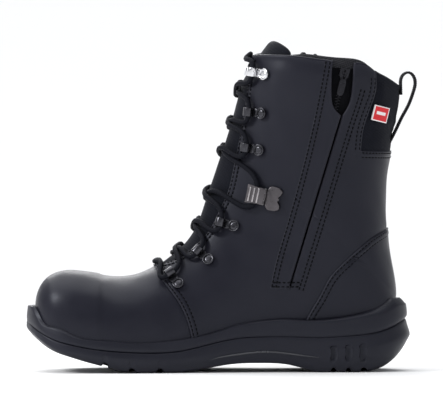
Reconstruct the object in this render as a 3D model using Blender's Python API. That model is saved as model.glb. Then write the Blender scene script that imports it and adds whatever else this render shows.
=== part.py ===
"""A right-foot fire station boot: a laced and side-zipped leather boot on a moulded sole.

Metres, +Z up. The toe points to -X, the inner (zip) side faces -Y, and the boot stands on Z = 0.
The upper is one fan of sections: each runs from the feather edge or the back line to the front ridge.
Every leather, lining and stiffener piece is a layer of that surface, cut to its outline seen from the side.
"""

import math

import bmesh
import bpy
import numpy as np
from mathutils import Matrix, Vector

MM = 0.001
# Every length below is in millimetres until a mesh is made.
GAP = 0.3  # clearance between neighbouring pieces

# ---------------------------------------------------------------- the upper's surface
# Each station of the fan: B (x, z) on the feather edge or the back line, F (x, z) on the front ridge,
# the half-width there, how far the section closes under (0 an arch, -1 a closed oval), and its squareness.
STATIONS = [
    ((-148.0, 46.0), (-148.0, 46.0), 0.0, -0.05, 2.7),
    ((-143.5, 35.5), (-146.5, 62.0), 23.0, -0.08, 2.7),
    ((-136.5, 31.5), (-139.0, 73.5), 33.0, -0.10, 2.7),
    ((-124.5, 27.0), (-125.0, 79.6), 41.0, -0.12, 2.7),
    ((-106.0, 22.8), (-106.0, 78.6), 46.5, -0.12, 2.6),
    ((-85.0, 20.4), (-83.0, 75.4), 49.0, -0.14, 2.4),
    ((-62.0, 19.4), (-61.5, 79.5), 49.0, -0.18, 2.2),
    ((-37.0, 20.4), (-44.5, 89.5), 46.0, -0.24, 2.0),
    ((-9.0, 26.0), (-30.5, 101.5), 42.5, -0.32, 1.95),
    ((21.0, 33.8), (-21.5, 114.5), 40.0, -0.40, 1.95),
    ((55.0, 37.0), (-16.0, 129.0), 39.2, -0.48, 2.0),
    ((88.0, 37.6), (-11.5, 143.0), 39.8, -0.54, 2.1),
    ((114.0, 41.4), (-7.0, 156.0), 40.4, -0.65, 2.15),
    ((129.0, 47.5), (-3.0, 168.0), 41.3, -0.80, 2.2),
    ((136.6, 53.0), (0.8, 179.0), 41.9, -0.93, 2.2),
    ((139.0, 59.0), (4.0, 189.0), 42.5, -1.0, 2.2),
    ((135.8, 84.0), (7.8, 202.0), 43.7, -1.0, 2.2),
    ((131.8, 112.0), (11.5, 216.0), 44.9, -1.0, 2.2),
    ((131.2, 145.0), (15.6, 231.0), 46.5, -1.0, 2.2),
    ((135.2, 176.0), (19.2, 244.0), 48.2, -1.0, 2.2),
    ((139.6, 206.0), (22.6, 256.0), 49.8, -1.0, 2.2),
    ((143.5, 238.0), (26.0, 268.0), 51.0, -1.0, 2.2),
]
# How far the section's middle lies to the outer side, against x on the ridge.
SWING = [(-150, -7.5), (-120, -4.5), (-85, -1.0), (-50, 1.5), (-20, 1.5), (15, 0.5), (40, 0.0)]

# Depths below the outer surface of each layer of the upper.
LEATHER = (0.0, 1.8)
STIFFENER = (2.4, 4.4)
PADDING = (2.4, 4.6)
LINING = (5.7, 7.3)
FLEX_PANEL = (0.5, 2.0)
TONGUE = (3.4, 5.5)

# ---------------------------------------------------------------- side-view lines, (x, z)
FACING = [(-54.0, 84.0), (-44.0, 86.5), (-22.0, 99.8), (-11.5, 110.9), (-3.6, 126.0), (3.5, 141.0),
          (8.3, 160.2), (13.9, 188.0), (18.7, 217.4), (24.5, 250.3)]
VAMP_SEAM = [(-54.0, 84.0), (-47.3, 72.7), (-33.8, 53.7), (-29.0, 43.3), (-25.0, 29.0), (-22.0, 10.0)]
COUNTER_SEAM = [(146.0, 115.0), (130.0, 112.0), (117.7, 105.3), (105.3, 95.4), (93.0, 84.4), (84.3, 74.5),
                (76.0, 59.0), (68.4, 46.1), (62.0, 30.0)]
COLLAR = [(24.5, 250.3), (56.0, 249.4), (86.8, 245.6), (105.3, 244.2), (113.0, 242.4), (121.2, 236.5),
          (130.0, 232.0), (141.5, 225.4), (150.0, 221.0)]
FLEX_EDGE = [(121.2, 236.5), (120.1, 221.4), (116.4, 209.1), (112.7, 196.8), (110.3, 184.4), (109.6, 175.0)]
FLEX_BOTTOM = 174.0
FLAP_FRONT = [(84.0, 260.0), (74.0, 203.0), (63.5, 158.0), (51.5, 114.0), (44.0, 88.0), (39.3, 67.0)]
ZIP_WINDOW_BOTTOM = 67.0
RECESS = [(91.5, 206.0), (88.0, 220.0), (87.0, 262.0), (107.0, 262.0), (102.0, 222.0), (94.5, 206.0)]
TOE_CAP_BACK = -93.0
TONGUE_EDGE = [(-57.0, 84.0), (-38.0, 86.0), (-9.0, 101.0), (4.0, 122.0), (15.0, 150.0), (25.0, 190.0),
               (32.0, 220.0), (44.0, 243.0), (60.0, 256.0)]
TONGUE_ROOM = [(-50.0, 72.0), (-43.0, 78.0), (-30.0, 86.0), (-7.0, 101.0), (7.0, 122.0), (18.0, 150.0),
               (30.0, 190.0), (40.0, 220.0), (57.0, 243.0), (70.0, 258.0)]
TONGUE_LEAN_FROM, TONGUE_LEAN = 228.0, 13.0
PADDING_BOTTOM = 186.0

# ---------------------------------------------------------------- the sole
# The outline is x = SOLE_MIDDLE - SOLE_HALF cos(a), and half-width = value sin(a), a from toe to heel.
SOLE_MIDDLE, SOLE_HALF = -3.4, 151.6
SOLE_SPREAD = [(0, 84.0), (15, 84.5), (30, 82.0), (45, 70.5), (60, 61.5), (75, 52.8), (90, 44.6), (105, 41.4),
               (120, 46.4), (135, 56.8), (150, 67.5), (165, 73.0), (180, 74.0)]
TREAD_BOTTOM = [(-152, 30.0), (-137, 18.7), (-121, 12.7), (-109, 9.1), (-93, 4.8), (-81.5, 1.6), (-66, 0.0),
                (-38, 0.0), (-18, 2.4), (6, 6.4), (31, 7.3), (54, 5.6), (66, 2.4), (76, 0.0), (113, 0.0),
                (129, 5.0), (139, 12.0), (149, 22.0)]
SOLE_BULGE = [(-156, 37.0), (-140, 24.5), (-115, 16.5), (-90, 12.5), (-60, 10.5), (-20, 12.5), (10, 17.5),
              (40, 18.5), (75, 17.0), (110, 18.5), (130, 22.0), (149, 29.0)]
BAND_LINE = [(-156, 41.0), (-140, 29.5), (-120, 22.5), (-108, 20.0), (-88, 17.4), (-63.7, 16.1),
             (-33.8, 17.3), (-9, 22.9), (15, 27.4), (31, 28.2), (56, 28.2), (77.5, 27.6), (100, 29.0),
             (119.6, 31.3), (132.8, 35.2), (146, 42.0)]
LIP_TOP = [(-153, 54.5), (-149, 50.0), (-144, 40.5), (-136.7, 36.7), (-120.4, 30.2), (-96, 26.2),
           (-71.8, 24.2), (-47.4, 24.6), (-25.4, 27.4), (-9, 31.0), (15, 38.3), (31.4, 40.8), (47.6, 42.0),
           (72, 41.2), (106.4, 44.4), (122.8, 48.4), (136, 55.0), (142, 59.6)]
OUTSOLE_FLOOR = 7.0
TREAD_DEPTH = 3.4
TREAD_GROOVE = 4.6
TREAD_CUTS = [-93.0, -72.0, -49.5, 87.6, 99.4, 111.2]

# Top and bottom of each plate under the foot, below the feather edge, and the shank's span and half-width.
FOOTBED = (-4.6, -0.4)
INSOLE_BOARD = (0.4, 2.4)
PUNCTURE_PLATE = (2.7, 3.9)
SHANK = (4.2, 6.2)
SHANK_SPAN, SHANK_HALF = (-20.0, 82.0), 12.0

# ---------------------------------------------------------------- hardware
# Rivet centre and eye centre of each lace loop, bottom to top, in side view.
LOOPS = [((-34.2, 68.9), (-41.7, 77.5)), ((-10.1, 88.2), (-19.5, 95.3)), ((9.9, 115.3), (-1.2, 117.7)),
         ((30.8, 175.1), (18.3, 177.7)), ((33.0, 204.2), (20.7, 205.5)), ((35.8, 234.8), (23.9, 236.9))]
LOOP_STRAP, LOOP_WIDTH = 1.0, 7.0
EYE_INNER, EYE_HEIGHT, EYE_AHEAD = 2.7, 4.2, 5.6
RIVET_RADIUS, RIVET_THICK, RIVET_BEHIND = 4.5, 1.3, 5.6
LOCK_PIN = (33.5, 138.7)
LOCK_AHEAD = (26.6, 140.3)
LOCK_LACE_AHEAD, LOCK_LACE_HEIGHT = 7.6, 3.5
LACE_RADIUS = 1.8
LACE_CROSSINGS = [97.5, 118.0, 142.0, 177.0, 197.5, 223.5]
ZIP_TOP, ZIP_BOTTOM = (97.6, 243.0), (53.6, 70.5)
SLIDER_REST = 7.0  # from the zip's top end down to the slider's middle
SLIDER_HALF = 3.9
SLOT_HALF = 1.1
PULLER_PIN_OUT = 1.8
LOCK_AXIS_HEIGHT = 4.4
PULL_WIDTH, PULL_THICK = 20.0, 1.8
PULL_PATH = [(142.6, 219.0), (142.4, 226.0), (143.0, 232.6), (145.8, 236.0), (149.4, 236.6), (152.6, 233.9),
             (154.0, 229.4), (152.4, 220.9), (148.4, 210.3), (144.2, 201.5), (141.2, 194.0), (139.8, 187.0),
             (138.9, 180.0)]
LABEL_CENTRE, LABEL_SIZE, LABEL_TILT = (123.8, 204.2), 12.3, -14.0

# ---------------------------------------------------------------- where the frame's origin lies
ORIGIN = (0.0, 0.575)

# ================================================================ curves and the surface


def natural_spline(knots, values):
    """Second derivatives of the natural cubic spline through values at knots."""
    knots = np.asarray(knots, float)
    values = np.asarray(values, float)
    n = len(knots)
    step = np.diff(knots)
    matrix = np.eye(n)
    right = np.zeros((n,) + values.shape[1:])
    slope = (np.diff(values, axis=0).T / step).T
    for i in range(1, n - 1):
        matrix[i, i - 1 : i + 2] = step[i - 1], 2 * (step[i - 1] + step[i]), step[i]
        right[i] = 6 * (slope[i] - slope[i - 1])
    return np.linalg.solve(matrix, right)


class Smooth:
    """A smooth curve through (knot, value) pairs; a value may be a number or a point."""

    def __init__(self, knots, values):
        self.knots = np.asarray(knots, float)
        self.values = np.asarray(values, float)
        self.bend = natural_spline(self.knots, self.values)

    def __call__(self, at):
        at = np.asarray(at, float)
        i = np.clip(np.searchsorted(self.knots, at) - 1, 0, len(self.knots) - 2)
        step = self.knots[i + 1] - self.knots[i]
        b = (at - self.knots[i]) / step
        a = 1 - b
        if self.values.ndim > 1:
            a, b, step = a[..., None], b[..., None], step[..., None]
        cubic = ((a**3 - a) * self.bend[i] + (b**3 - b) * self.bend[i + 1]) * step**2 / 6
        return a * self.values[i] + b * self.values[i + 1] + cubic


def along(points):
    """Distance from the first point to each point, along straight lines."""
    points = np.asarray(points, float)
    return np.concatenate([[0.0], np.cumsum(np.linalg.norm(np.diff(points, axis=0), axis=1))])


def smooth_path(points, count):
    """count points on the smooth curve through points, evenly spaced in its parameter."""
    reach = along(points)
    return Smooth(reach, points)(np.linspace(0, reach[-1], count))


def through(pairs):
    """The smooth function through (x, value) pairs."""
    xs, values = zip(*pairs)
    return Smooth(xs, values)


FEATHER = np.array([s[0] for s in STATIONS])
RIDGE = np.array([s[1] for s in STATIONS])
KNOTS = (along(FEATHER) + along(RIDGE)) / 2
LAST = KNOTS[-1]
FEATHER_AT = Smooth(KNOTS, FEATHER)
RIDGE_AT = Smooth(KNOTS, RIDGE)
WIDTH2_AT = Smooth(KNOTS, [s[2] ** 2 for s in STATIONS])
CLOSING_AT = Smooth(KNOTS, [s[3] for s in STATIONS])
SQUARE_AT = Smooth(KNOTS, [s[4] for s in STATIONS])
SWING_AT = through(SWING)
TONGUE_WIDE_KNOT = LAST - 34.0
TONGUE_TOP_KNOT = LAST - 9.5
HEEL_KNOT = KNOTS[[s[3] for s in STATIONS].index(-1.0)]


def swing(x):
    return SWING_AT(np.clip(x, SWING[0][0], SWING[-1][0]))


def section(u):
    """What section u is made of: feather point, ridge point, half-width, closing, squareness, middle."""
    closing = np.where(u >= HEEL_KNOT, -1.0, np.clip(CLOSING_AT(u), -1.0, 0.0))
    width = np.sqrt(np.maximum(WIDTH2_AT(u), 0.0))
    ridge = RIDGE_AT(u)
    return FEATHER_AT(u), ridge, width, closing, SQUARE_AT(u), swing(ridge[..., 0])


def surface(u, s):
    """Points of the outer surface: s is -1 at the inner feather edge, 0 on the ridge, 1 at the outer edge."""
    u, s = np.broadcast_arrays(np.asarray(u, float), np.asarray(s, float))
    feather, ridge, width, closing, square, middle = section(u)
    start = np.arccos(-closing)
    angle = math.pi - np.abs(s) * (math.pi - start)
    t = -np.cos(angle)
    rise = np.sqrt(np.maximum(1 - np.abs(t) ** square, 0.0)) * np.sign(angle) * np.sign(s)
    part = ((t - closing) / (1 - closing))[..., None]
    flat = feather + (ridge - feather) * part
    return np.stack([flat[..., 0], middle + width * rise, flat[..., 1]], axis=-1)


def normals(u, s):
    """Unit normals of the outer surface, pointing out."""
    du, ds = 0.05, 0.002
    u = np.asarray(u, float)
    low = np.maximum(u - du, 0.02)
    along_u = surface(np.minimum(low + 2 * du, LAST), s) - surface(low, s)
    safe = np.maximum(u, 1.0)
    along_s = surface(safe, s + ds) - surface(safe, s - ds)
    n = np.cross(along_u, along_s)
    n /= np.maximum(np.linalg.norm(n, axis=-1, keepdims=True), 1e-9)
    return n


def layer_points(u, s, depth):
    """Points at depth below the outer surface, or above it where depth is negative."""
    u, s = np.broadcast_arrays(np.asarray(u, float), np.asarray(s, float))
    out = surface(u, s) - normals(u, s) * depth
    tip = u < 0.5
    out[tip] = surface(u[tip], s[tip]) - np.array([-1.0, 0.0, 0.0]) * depth
    return out


def locate(x, z, side):
    """(u, s) of the surface point seen at (x, z) from the side; side is -1 for the inner, 1 for the outer."""
    point = np.array([x, z], float)

    def turn(u):
        feather, ridge = FEATHER_AT(u), RIDGE_AT(u)
        arm, reach = ridge - feather, point - feather
        return arm[0] * reach[1] - arm[1] * reach[0]

    low, high = 2.0, LAST
    for _ in range(50):
        middle = (low + high) / 2
        if turn(middle) * turn(high) <= 0:
            low = middle
        else:
            high = middle
    feather, ridge, _, closing, _, _ = section(np.array(high))
    part = np.dot(point - feather, ridge - feather) / np.dot(ridge - feather, ridge - feather)
    t = np.clip(closing + (1 - closing) * part, -1, 1)
    start = math.acos(-closing)
    return high, side * (math.pi - math.acos(-t)) / (math.pi - start)


def on_surface(x, z, side):
    """(point, normal) on the outer surface, as Vectors in millimetres."""
    u, s = locate(x, z, side)
    return Vector(surface(u, s)), Vector(normals(u, s))


# ================================================================ meshes and objects


def scene_point(p):
    return ((p[0] - ORIGIN[0]) * MM, (p[1] - ORIGIN[1]) * MM, p[2] * MM)


def clear_scene():
    for old in list(bpy.data.objects):
        bpy.data.objects.remove(old, do_unlink=True)


def new_collection(name):
    made = bpy.data.collections.new(name)
    bpy.context.scene.collection.children.link(made)
    return made


def material(name, colour, roughness, metallic=0.0):
    """A Principled material; colour is linear red, green, blue."""
    found = bpy.data.materials.get(name)
    if found:
        return found
    made = bpy.data.materials.new(name)
    made.use_nodes = True
    shader = made.node_tree.nodes["Principled BSDF"]
    shader.inputs["Base Color"].default_value = (*colour, 1.0)
    shader.inputs["Roughness"].default_value = roughness
    shader.inputs["Metallic"].default_value = metallic
    return made


def paint(kind):
    """The material of each kind of piece."""
    finishes = {
        "leather": ((0.020, 0.020, 0.026), 0.38),
        "sole": ((0.026, 0.025, 0.028), 0.55),
        "outsole": ((0.022, 0.021, 0.023), 0.6),
        "textile": ((0.012, 0.012, 0.015), 0.9),
        "foam": ((0.15, 0.15, 0.16), 0.95),
        "lining": ((0.05, 0.05, 0.055), 0.95),
        "board": ((0.35, 0.30, 0.22), 0.9),
        "steel": ((0.55, 0.55, 0.56), 0.35, 1.0),
        "gunmetal": ((0.16, 0.16, 0.18), 0.3, 1.0),
        "silver": ((0.75, 0.75, 0.77), 0.2, 1.0),
        "bronze": ((0.30, 0.27, 0.25), 0.42, 1.0),
        "label": ((0.60, 0.02, 0.03), 0.7),
        "lace": ((0.008, 0.008, 0.010), 0.85),
    }
    return material(kind, *finishes[kind])


def mesh_object(name, bm, kind, group):
    """An object from a bmesh already in metres, with its faces turned outwards."""
    bmesh.ops.recalc_face_normals(bm, faces=bm.faces)
    if bm.calc_volume(signed=True) < 0:
        bmesh.ops.reverse_faces(bm, faces=bm.faces)
    mesh = bpy.data.meshes.new(name)
    bm.to_mesh(mesh)
    bm.free()
    made = bpy.data.objects.new(name, mesh)
    group.objects.link(made)
    if kind:
        mesh.materials.append(paint(kind))
        mesh.shade_smooth()
        mesh.set_sharp_from_angle(angle=math.radians(40))
    return made


def cutter(name, bm):
    made = mesh_object(name, bm, None, CUTTERS)
    made.hide_render = True
    made.display_type = "WIRE"
    return made


def boolean(target, other, operation, solver="EXACT"):
    modifier = target.modifiers.new(f"{operation.lower()} {other.name}", "BOOLEAN")
    modifier.operation = operation
    modifier.solver = solver
    modifier.object = other


def grid_faces(bm, grid, flip=False):
    """Two triangles in each cell of a grid, split the same way on every layer and mirrored at its middle."""
    middle = len(grid[0]) // 2
    for low, high in zip(grid, grid[1:]):
        for i in range(len(low) - 1):
            a, b, c, d = low[i], low[i + 1], high[i + 1], high[i]
            halves = [(a, b, c), (a, c, d)] if i < middle else [(a, b, d), (b, c, d)]
            for corners in halves:
                if len(set(corners)) == 3:
                    bm.faces.new(corners[::-1] if flip else corners)


def vert_grid(bm, points):
    """Vertices for a grid of points; a row whose points or ends fall on one place shares one vertex there."""
    rows = []
    for row in points:
        if np.ptp(row, axis=0).max() < 0.05:
            rows.append([bm.verts.new(scene_point(row[0]))] * len(row))
            continue
        verts = [bm.verts.new(scene_point(p)) for p in row[:-1]]
        meets = np.abs(row[0] - row[-1]).max() < 0.05
        rows.append(verts + [verts[0] if meets else bm.verts.new(scene_point(row[-1]))])
    return rows


def upper_rows(rows, columns, top):
    """The (u, s) grid that every layer of the upper shares: rows from the toe tip to knot top."""
    u = np.linspace(0, 1, rows + 1) ** 1.25 * top
    s = np.linspace(-1, 1, 2 * columns + 1)
    return u[:, None], s[None, :]


def skin(bm, outer, inner):
    """Closes the space between two grids whose side edges are free below the heel and meet above it."""
    grid_faces(bm, outer)
    grid_faces(bm, inner, flip=True)
    for i in range(len(outer) - 1):
        for j in (0, -1):
            joined = outer[i][0] is outer[i][-1] and outer[i + 1][0] is outer[i + 1][-1]
            if not joined:
                bm.faces.new([outer[i][j], outer[i + 1][j], inner[i + 1][j], inner[i][j]])
    for i in range(len(outer[0]) - 1):
        bm.faces.new([outer[-1][i], outer[-1][i + 1], inner[-1][i + 1], inner[-1][i]])


ROWS, COLUMNS, TOP = 30, 8, LAST
LAYER_SOLVER = "MANIFOLD"  # the exact solver loses some of these thin layers


def layer_mesh(depths, rows=ROWS, columns=COLUMNS, top=TOP):
    """A bmesh of the whole upper between two depths, open at the feather edge and the top."""
    bm = bmesh.new()
    u, s = upper_rows(rows, columns, top)
    outer = vert_grid(bm, layer_points(u, s, depths[0]))
    inner = vert_grid(bm, layer_points(u, s, depths[1]))
    skin(bm, outer, inner)
    return bm


def volume_mesh(depth, drop):
    """The whole space inside the upper at that depth, its floor drop millimetres below the feather edge."""
    bm = bmesh.new()
    u, s = upper_rows(ROWS, COLUMNS, TOP)
    points = layer_points(u, s, depth)
    wall = vert_grid(bm, points)
    below = points[:, [0, -1]].copy()
    below[..., 2] -= drop
    floor = vert_grid(bm, below)
    grid_faces(bm, wall)
    sole_rows = [i for i in range(len(wall)) if wall[i][0] is not wall[i][-1]]
    last = sole_rows[-1] + 1
    for i in range(last):
        for j in (0, -1):
            ring = list(dict.fromkeys([wall[i][j], wall[i + 1][j], floor[i + 1][j], floor[i][j]]))
            if len(ring) > 2:
                bm.faces.new(ring)
        ring = list(dict.fromkeys([floor[i][0], floor[i][-1], floor[i + 1][-1], floor[i + 1][0]]))
        if len(ring) > 2:
            bm.faces.new(ring)
    bm.faces.new([v for v in dict.fromkeys(wall[-1])])
    return bm


def prism(name, outline, y_low, y_high):
    """A cutter of that side-view outline, from y_low to y_high."""
    bm = bmesh.new()
    near = [bm.verts.new(scene_point((x, y_low, z))) for x, z in outline]
    far = [bm.verts.new(scene_point((x, y_high, z))) for x, z in outline]
    bm.faces.new(near)
    bm.faces.new(far[::-1])
    for i in range(len(near)):
        j = (i + 1) % len(near)
        bm.faces.new([near[i], near[j], far[j], far[i]])
    bmesh.ops.triangulate(bm, faces=[f for f in bm.faces if len(f.verts) > 4])
    return cutter(name, bm)


def shifted(path, distance):
    """The side-view path moved sideways, to its right as it is walked."""
    path = np.asarray(path, float)
    step = np.gradient(path, axis=0)
    step /= np.linalg.norm(step, axis=1, keepdims=True)
    return path + np.stack([step[:, 1], -step[:, 0]], axis=1) * distance


def cut_layer(name, kind, depths, outlines, y_low=-90.0, y_high=90.0, rows=ROWS, columns=COLUMNS):
    """One piece: the layer between depths kept inside the first outline and left out of the others."""
    made = mesh_object(name, layer_mesh(depths, rows, columns), kind, PARTS)
    for i, outline in enumerate(outlines):
        tool = prism(f"{name}_outline_{i}", outline, y_low if i == 0 else -95.0, y_high if i == 0 else 95.0)
        boolean(made, tool, "INTERSECT" if i == 0 else "DIFFERENCE", LAYER_SOLVER)
    return made


# ================================================================ the pieces of the upper


def vamp_outline():
    seam = shifted(smooth_path(VAMP_SEAM, 12), GAP / 2)
    return [(-170.0, 5.0), (-170.0, 120.0), (seam[0][0], 120.0), *map(tuple, seam)]


def quarter_outline():
    """The quarters as seen from the side, without the zip window."""
    seam = shifted(smooth_path(VAMP_SEAM, 12), -GAP / 2)[::-1]
    facing = smooth_path(FACING, 14)
    collar = smooth_path(COLLAR[:6], 8)
    edge = shifted(smooth_path(FLEX_EDGE, 7), GAP / 2)
    counter = shifted(smooth_path(COUNTER_SEAM, 14), GAP / 2)
    outline = [*seam[:-1], *facing[1:-1], *collar[:-1], *edge, (edge[-1][0], FLEX_BOTTOM - GAP / 2)]
    return [tuple(p) for p in [*outline, (160.0, FLEX_BOTTOM - GAP / 2), *counter, (counter[-1][0], 10.0)]]


def counter_outline(inset=0.0):
    seam = shifted(smooth_path(COUNTER_SEAM, 14), -GAP / 2 - inset)
    return [*map(tuple, seam), (seam[-1][0], 10.0), (170.0, 10.0), (170.0, seam[0][1])]


def flex_outline():
    edge = shifted(smooth_path(FLEX_EDGE, 7), -GAP / 2)
    return [*map(tuple, edge), (edge[-1][0], FLEX_BOTTOM + GAP / 2), (160.0, FLEX_BOTTOM + GAP / 2),
            *map(tuple, smooth_path(COLLAR[5:], 6)[:0:-1])]


def inner_outline():
    """The lining and stiffeners: all of the upper below the collar, without the tongue's room."""
    room = smooth_path(TONGUE_ROOM, 12)
    collar = [p for p in smooth_path(COLLAR, 16) if p[0] > room[-1][0] + 4]
    return [(-170.0, 5.0), (-170.0, 120.0), (TONGUE_ROOM[0][0], 120.0), *map(tuple, room[:-1]),
            *map(tuple, collar), (170.0, collar[-1][1]), (170.0, 5.0)]


def padding_outline(back):
    """The foam between leather and lining, from the tongue to back, a side-view line from the collar down."""
    front = [p for p in smooth_path(TONGUE_ROOM, 12) if PADDING_BOTTOM < p[1] < 238]
    collar = [p for p in smooth_path(COLLAR, 16) if front[-1][0] + 9 < p[0] < back[0][0] - 2]
    return [(front[0][0] + 2, PADDING_BOTTOM), *[(x + 2, z) for x, z in front],
            *[(x, z - 1.5) for x, z in collar],
            *map(tuple, back), (back[-1][0], PADDING_BOTTOM)]


def window_outline():
    """The opening in the inner quarter that the zip and its flap fill."""
    front = smooth_path(FLAP_FRONT, 9)
    low, high = zip_point(SLOT_HALF, -8.0), zip_point(SLOT_HALF, zip_length() + 30)
    return [(high[0], high[2]), (low[0], ZIP_WINDOW_BOTTOM), *map(tuple, front[::-1])]


def flap_outline():
    front = shifted(smooth_path(FLAP_FRONT, 9), -GAP)
    low, high = zip_point(-SLOT_HALF, -1.5), zip_point(-SLOT_HALF, zip_length() + 30)
    bottom = ZIP_WINDOW_BOTTOM + GAP
    return [*map(tuple, front[:-1]), (front[-1][0], bottom), (low[0] - 0.4, bottom), (high[0], high[2])]


def square_outline(centre, size, tilt):
    half = size / 2
    turn = math.radians(tilt)
    corners = [(-half, -half), (half, -half), (half, half), (-half, half)]
    return [(centre[0] + x * math.cos(turn) - z * math.sin(turn),
             centre[1] + x * math.sin(turn) + z * math.cos(turn))
            for x, z in corners]


def clip_collar(piece):
    """Trims a piece to the collar line."""
    line = smooth_path(COLLAR, 16)
    outline = [*map(tuple, line), (line[-1][0], 300.0), (line[0][0], 300.0)]
    boolean(piece, prism(f"{piece.name}_collar", outline, -95.0, 95.0), "DIFFERENCE", LAYER_SOLVER)


def make_upper():
    cut_layer("vamp", "leather", LEATHER, [vamp_outline()])
    quarter = quarter_outline()
    cut_layer("quarter_lateral", "leather", LEATHER, [quarter], y_low=GAP / 2)
    inner = cut_layer("quarter_medial", "leather", LEATHER, [quarter, window_outline(), RECESS],
                      y_high=-GAP / 2)
    flap = cut_layer("zip_flap", "leather", (-0.1, 1.5), [flap_outline(), RECESS], y_high=-GAP / 2)
    clip_collar(flap)
    cut_layer("heel_counter_cover", "leather", LEATHER, [counter_outline()])
    cut_layer("rear_flex_panel", "textile", FLEX_PANEL, [flex_outline()])
    cut_layer("toe_cap", "steel", STIFFENER,
              [[(-170.0, 5.0), (-170.0, 110.0), (TOE_CAP_BACK, 110.0), (TOE_CAP_BACK, 5.0)]])
    cut_layer("heel_stiffener", "board", STIFFENER, [counter_outline(inset=3.0)])
    lining = cut_layer("lining", "lining", LINING, [inner_outline()])
    flex_front = [(x - 2.5, z) for x, z in smooth_path(FLEX_EDGE, 7)]
    zip_front = [(x - 6.0, z) for x, z in smooth_path(FLAP_FRONT, 9) if PADDING_BOTTOM < z < 240]
    cut_layer("collar_pad_lateral", "foam", PADDING, [padding_outline(flex_front)], y_low=1.0)
    cut_layer("collar_pad_medial", "foam", PADDING, [padding_outline(zip_front)], y_high=-1.0)
    cut_layer("side_label", "label", (-0.8, 0.2), [square_outline(LABEL_CENTRE, LABEL_SIZE, LABEL_TILT)],
              y_high=-1.0)
    for piece in (inner, flap):
        boolean(piece, ZIP_CHANNEL, "DIFFERENCE", LAYER_SOLVER)
    boolean(lining, ZIP_ROOM, "DIFFERENCE", LAYER_SOLVER)


def make_tongue():
    """The padded tongue: from under the vamp up through the throat, leaning back above the top loops."""
    room = np.array([locate(x, z, 1) for x, z in smooth_path(TONGUE_EDGE, 14)])
    throat = KNOTS[6] + 9
    u = np.concatenate([np.linspace(throat, TONGUE_WIDE_KNOT, 15),
                        np.linspace(TONGUE_WIDE_KNOT, TONGUE_TOP_KNOT, 6)[1:]])
    over = np.clip((u - TONGUE_WIDE_KNOT) / (TONGUE_TOP_KNOT - TONGUE_WIDE_KNOT), 0, 1)
    half = np.interp(u, room[:, 0], room[:, 1] - 0.02) * np.sqrt(1 - 0.93 * over**2.5)
    s = half[:, None] * np.linspace(-1, 1, 11)[None, :]
    bm = bmesh.new()
    sheets = []
    for depth in TONGUE:
        points = layer_points(u[:, None], s, depth)
        lean = np.clip((points[..., 2] - TONGUE_LEAN_FROM) / (262.0 - TONGUE_LEAN_FROM), 0, 2)
        points[..., 0] += TONGUE_LEAN * lean**1.3
        sheets.append(vert_grid(bm, points))
    outer, inner = sheets
    grid_faces(bm, outer)
    grid_faces(bm, inner, flip=True)
    edge = [row[0] for row in outer] + outer[-1][1:] + [row[-1] for row in outer][-2::-1] + outer[0][-2:0:-1]
    under = [row[0] for row in inner] + inner[-1][1:] + [row[-1] for row in inner][-2::-1] + inner[0][-2:0:-1]
    for i in range(len(edge)):
        j = (i + 1) % len(edge)
        bm.faces.new([edge[i], edge[j], under[j], under[i]])
    return mesh_object("tongue", bm, "textile", PARTS)


# ================================================================ the sole


SPREAD_AT = through(SOLE_SPREAD)
BULGE_AT = through(SOLE_BULGE)
BAND_AT, LIP_AT = through(BAND_LINE), through(LIP_TOP)
TREAD_AT = through(TREAD_BOTTOM)
TURNS = 28


def tread_bottom(x):
    """Height of the tread's face: flat on the ground under the ball and the heel."""
    return np.maximum(TREAD_AT(x), 0.0)


def sole_ring(inset, height, toe=0.0, heel=0.0):
    """A closed ring round the sole, inset millimetres inside its outline, pulled in by toe and heel."""
    angle = np.linspace(0, 180, TURNS + 1)
    x = SOLE_MIDDLE - SOLE_HALF * np.cos(np.radians(angle))
    low, high = x[0], x[-1]
    x = low + toe + inset + (x - low) * (high - low - toe - heel - 2 * inset) / (high - low)
    half = SPREAD_AT(angle) * np.sin(np.radians(angle)) * (1 - inset / 48.0)
    middle = swing(x)
    z = height(x)
    inner = np.stack([x, middle - half, z], axis=1)
    outer = np.stack([x, middle + half, z], axis=1)
    return np.concatenate([inner, outer[-2:0:-1]])


def ring_solid(name, kind, rings):
    """A closed solid through rings of points from the bottom up, capped by strips from side to side."""
    bm = bmesh.new()
    loops = [[bm.verts.new(scene_point(p)) for p in ring] for ring in rings]
    count = len(loops[0])
    for low, high in zip(loops, loops[1:]):
        for i in range(count):
            j = (i + 1) % count
            bm.faces.new([low[i], low[j], high[j], high[i]])
    for loop, flip in ((loops[0], False), (loops[-1], True)):
        for i in range(TURNS):
            corners = [loop[i], loop[-i % count], loop[-(i + 1) % count], loop[i + 1]]
            corners = list(dict.fromkeys(corners))
            bm.faces.new(corners[::-1] if flip else corners)
    return mesh_object(name, bm, kind, PARTS)


def raised(height, by):
    return lambda x: height(x) + by


def between(low, high, part):
    return lambda x: low(x) + (high(x) - low(x)) * part


def outsole_floor(x):
    return np.minimum(tread_bottom(np.clip(x, -140, 140)) + OUTSOLE_FLOOR, BAND_AT(x) - 4.0)


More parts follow.
